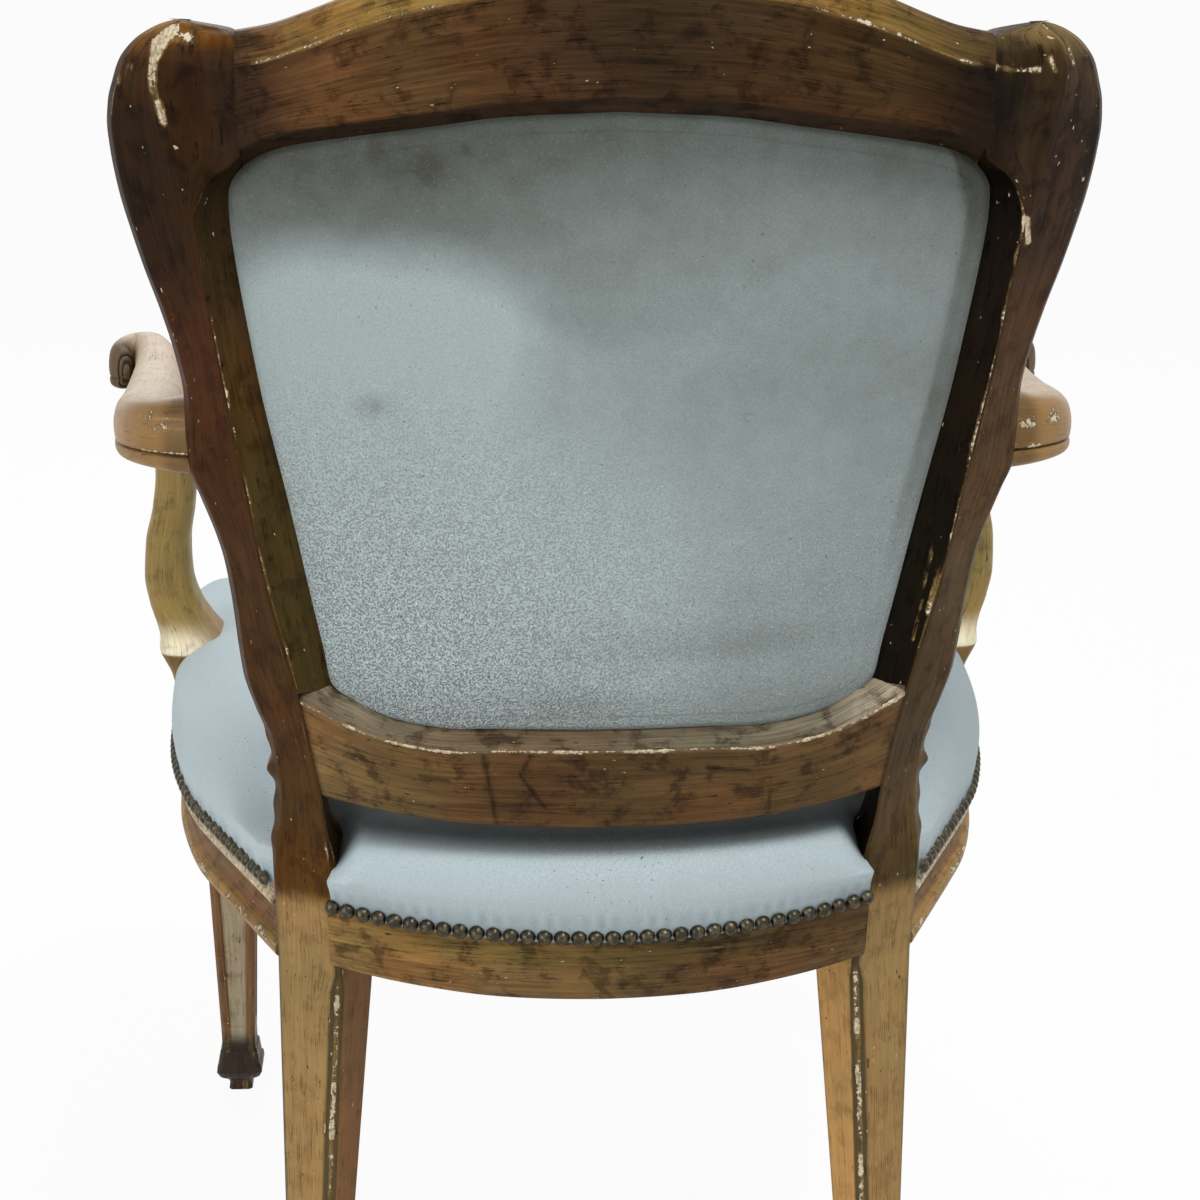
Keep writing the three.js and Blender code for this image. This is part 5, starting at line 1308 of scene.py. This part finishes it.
def buildNails():
    x = np.linspace(-166.5, 166.5, 200)
    z = nails["z"] + nails["endsHigher"] * (x / 166.5) ** 2
    rear = movedLine(np.stack([x, backY(x, z)], 1), nails["stand"])
    nailRow("nails_rear", np.column_stack([rear, z]), seat["nailPitch"])
    rim = rimLine(nails["z"])
    step = (rim[0] - rim[1]) / np.linalg.norm(rim[0] - rim[1]) * nails["longer"]
    rim = movedLine(np.concatenate([[rim[0] + step], rim, [rim[-1] + step * [-1, 1]]]),
                    nails["stand"] - 0.6)
    rim = np.column_stack([rim, np.full(len(rim), nails["sideZ"])])
    nailRow("nails_sides_and_front", rim, seat["nailPitch"])


bronze = nailMaterial()
buildNails()
print("nails")


# Webbing and hessian under the seat, bare beech blocks

def wovenMaterial(name, warp, gapColor, threads, depth):
    material, tree, shader = newMaterial(name)
    place = put(tree, "TexCoord").outputs["Object"]
    split = put(tree, "SeparateXYZ", {"Vector": place}).outputs
    wave = [maths(tree, "ABSOLUTE", maths(tree, "SINE", maths(tree, "MULTIPLY", split[k], threads)))
            for k in (0, 1)]
    weave = maths(tree, "MAXIMUM", wave[0], wave[1])
    fibre = noise(tree, place, 300.0, 4.0, 0.7)
    tone = maths(tree, "MULTIPLY", ramp(tree, weave, 0.35, 0.95), ramp(tree, fibre, 0.2, 0.7, 0.6, 1.0))
    color = blend(tree, tone, rgba(gapColor), rgba(warp))
    finishWith(tree, shader, color, None, None, weave, depth)
    shader.inputs["Roughness"].default_value = 0.95
    return material


def beechMaterial():
    material, tree, shader = newMaterial("bare beech")
    place = put(tree, "TexCoord").outputs["Object"]
    rings = noise(tree, stretched(tree, place, (25, 25, 160)), 1.0, 5.0, 0.6, 0.4)
    flecks = ramp(tree, noise(tree, stretched(tree, place, (500, 500, 90)), 1.0, 2.0), 0.62, 0.7)
    color = blend(tree, ramp(tree, rings, 0.35, 0.68), rgba("9b7348"), rgba("bf9869"))
    color = blend(tree, maths(tree, "MULTIPLY", flecks, 0.4), color, rgba("6b4a2b"))
    finishWith(tree, shader, color, None, None, rings, 0.0003)
    shader.inputs["Roughness"].default_value = 0.75
    return material


jute = wovenMaterial("jute webbing", "b09768", "5e4b30", 2100.0, 0.0006)
hessian = wovenMaterial("hessian", "b9a27a", "6d5a3c", 1500.0, 0.0004)
lining = wovenMaterial("linen lining", "c9bb98", "8d7c5c", 3000.0, 0.0003)
horsehair = wovenMaterial("horsehair", "453829", "1e1812", 900.0, 0.001)
beech = beechMaterial()

webbing = {
    "z": 407, "thickness": 1.4, "width": 56, "lift": 1.1, "endDrop": -1.9,
    "lengthwise": (-117, -39, 39, 117), "cross": (-255, -125, -38, 49),
}


# A strap of the webbing: height runs straight between flat stretches at its crossings, over and under
# in turn
def buildStraps():
    w = webbing
    half = w["width"] / 2
    sideLine, _ = evenLine(sideRail["line"], np.linspace(0, 1, 200))

    def heights(run, crossings, first):
        keys = [(run[0], w["endDrop"]), (run[0] + 12, w["endDrop"])]
        for i, at in enumerate(crossings):
            lift = w["lift"] if (i + first) % 2 == 0 else -w["lift"]
            keys += [(at - half - 3, lift), (at + half + 3, lift)]
        keys += [(run[-1] - 12, w["endDrop"]), (run[-1], w["endDrop"])]
        return np.interp(run, *zip(*keys))

    def strap(node, run, middle, height, lengthwise):
        rings = []
        for across, up in ((-half, -0.7), (-half + 1, -0.85), (half - 1, -0.85), (half, -0.7),
                           (half, 0.7), (half - 1, 0.62), (-half + 1, 0.62), (-half, 0.7)):
            x, y = (middle + across, run) if lengthwise else (run, middle + across)
            rings.append(np.stack(np.broadcast_arrays(x, y, w["z"] + height + up), -1))
        rings = np.stack(rings, 1).astype(float)
        blank = np.zeros(rings.shape[:2])
        mesh = ringMesh(node, rings, blank, np.zeros(rings.shape), 0.0)
        addPiece(node.replace("seat_webbing", "strap"), mesh, jute, [node])

    for i, x in enumerate(w["lengthwise"]):
        reach = abs(x) + half
        run = np.linspace(frontLineY(reach) + 9, backY(reach, 404) - 8, 150)
        strap(f"seat_webbing_lengthwise_{i + 1}", run, x, heights(run, w["cross"], i), True)
    for i, y in enumerate(w["cross"]):
        reach = min(np.interp([-(y + half), -(y - half)], -sideLine[:, 1], sideLine[:, 0])) - 6
        run = np.linspace(-reach, reach, 150)
        strap(f"seat_webbing_cross_{i + 1}", run, y, heights(run, w["lengthwise"], i + 1), False)


buildStraps()


def finishFrameNodes():
    finishes = {"corner_block": beech, "webbing": jute, "hessian": hessian, "lining": lining,
                "stuffing": horsehair}
    for name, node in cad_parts.items():
        for key, material in finishes.items():
            if key in name:
                node.data.materials.clear()
                node.data.materials.append(material)


finishFrameNodes()
print("webbing, linen and blocks")


# Floor, light and camera

studio = {
    "floor": "f2f1ef", "world": 0.5,
    "key": ((-0.9, 1.5, 3.3), 0.8, 56), "fill": ((2.6, 2.1, 1.2), 2.0, 32),
    "front": ((0.6, -2.6, 2.4), 2.4, 24),
}


def buildStudio():
    mesh = bpy.data.meshes.new("floor")
    far = 60
    mesh.from_pydata([(-far, -far, 0), (far, -far, 0), (far, far, 0), (-far, far, 0)], [],
                     [(0, 1, 2, 3)])
    floor = bpy.data.objects.new("floor", mesh)
    bpy.context.scene.collection.objects.link(floor)
    material, tree, shader = newMaterial("floor paint")
    shader.inputs["Base Color"].default_value = rgba(studio["floor"])
    shader.inputs["Roughness"].default_value = 0.9
    seen = put(tree, "LightPath").outputs
    direct = maths(tree, "MAXIMUM", seen["Is Camera Ray"],
                   maths(tree, "MAXIMUM", seen["Is Glossy Ray"], seen["Is Transmission Ray"]))
    glow = put(tree, "Emission", {"Color": (1, 1, 1, 1), "Strength": 1.0})
    mixed = put(tree, "MixShader", {0: maths(tree, "MULTIPLY", direct, 0.93),
                                    1: shader.outputs[0], 2: glow.outputs[0]})
    tree.links.new(mixed.outputs[0], tree.nodes["Material Output"].inputs["Surface"])
    mesh.materials.append(material)
    world = bpy.data.worlds.new("studio")
    bpy.context.scene.world = world
    world.use_nodes = True
    sky = world.node_tree
    seen = put(sky, "LightPath").outputs
    direct = maths(sky, "MAXIMUM", seen["Is Camera Ray"],
                   maths(sky, "MAXIMUM", seen["Is Glossy Ray"], seen["Is Transmission Ray"]))
    strength = maths(sky, "MULTIPLY_ADD", direct, 1 - studio["world"], studio["world"])
    sky.nodes["Background"].inputs["Color"].default_value = (1, 1, 1, 1)
    sky.links.new(strength, sky.nodes["Background"].inputs["Strength"])
    aim = Vector((0, 0.1, 0.62))
    for name in ("key", "fill", "front"):
        place, size, power = studio[name]
        lamp = bpy.data.lights.new(name, "AREA")
        lamp.shape = "DISK"
        lamp.size = size
        lamp.energy = power
        made = bpy.data.objects.new(name, lamp)
        made.location = place
        made.rotation_euler = (aim - Vector(place)).to_track_quat("-Z", "Y").to_euler()
        bpy.context.scene.collection.objects.link(made)


view = {"place": (91, 1663.3, 1048.6), "yaw": -3.52, "pitch": 17.11, "roll": 0.39, "lens": 75}


def buildCamera():
    yaw, pitch, roll = (math.radians(view[key]) for key in ("yaw", "pitch", "roll"))
    ahead = Vector((math.sin(yaw) * math.cos(pitch), -math.cos(yaw) * math.cos(pitch),
                    -math.sin(pitch)))
    right = Vector((-math.cos(yaw), -math.sin(yaw), 0))
    up = right.cross(ahead)
    right, up = (right * math.cos(roll) + up * math.sin(roll),
                 up * math.cos(roll) - right * math.sin(roll))
    lens = bpy.data.cameras.new("camera")
    lens.lens = view["lens"]
    lens.sensor_width = 36
    camera = bpy.data.objects.new("camera", lens)
    bpy.context.scene.collection.objects.link(camera)
    turned = Matrix((right, up, -ahead)).transposed().to_4x4()
    turned.translation = Vector(view["place"]) * mm
    camera.matrix_world = turned
    bpy.context.scene.camera = camera


buildStudio()
buildCamera()
bpy.context.scene.view_settings.view_transform = "Standard"
print("studio and camera")
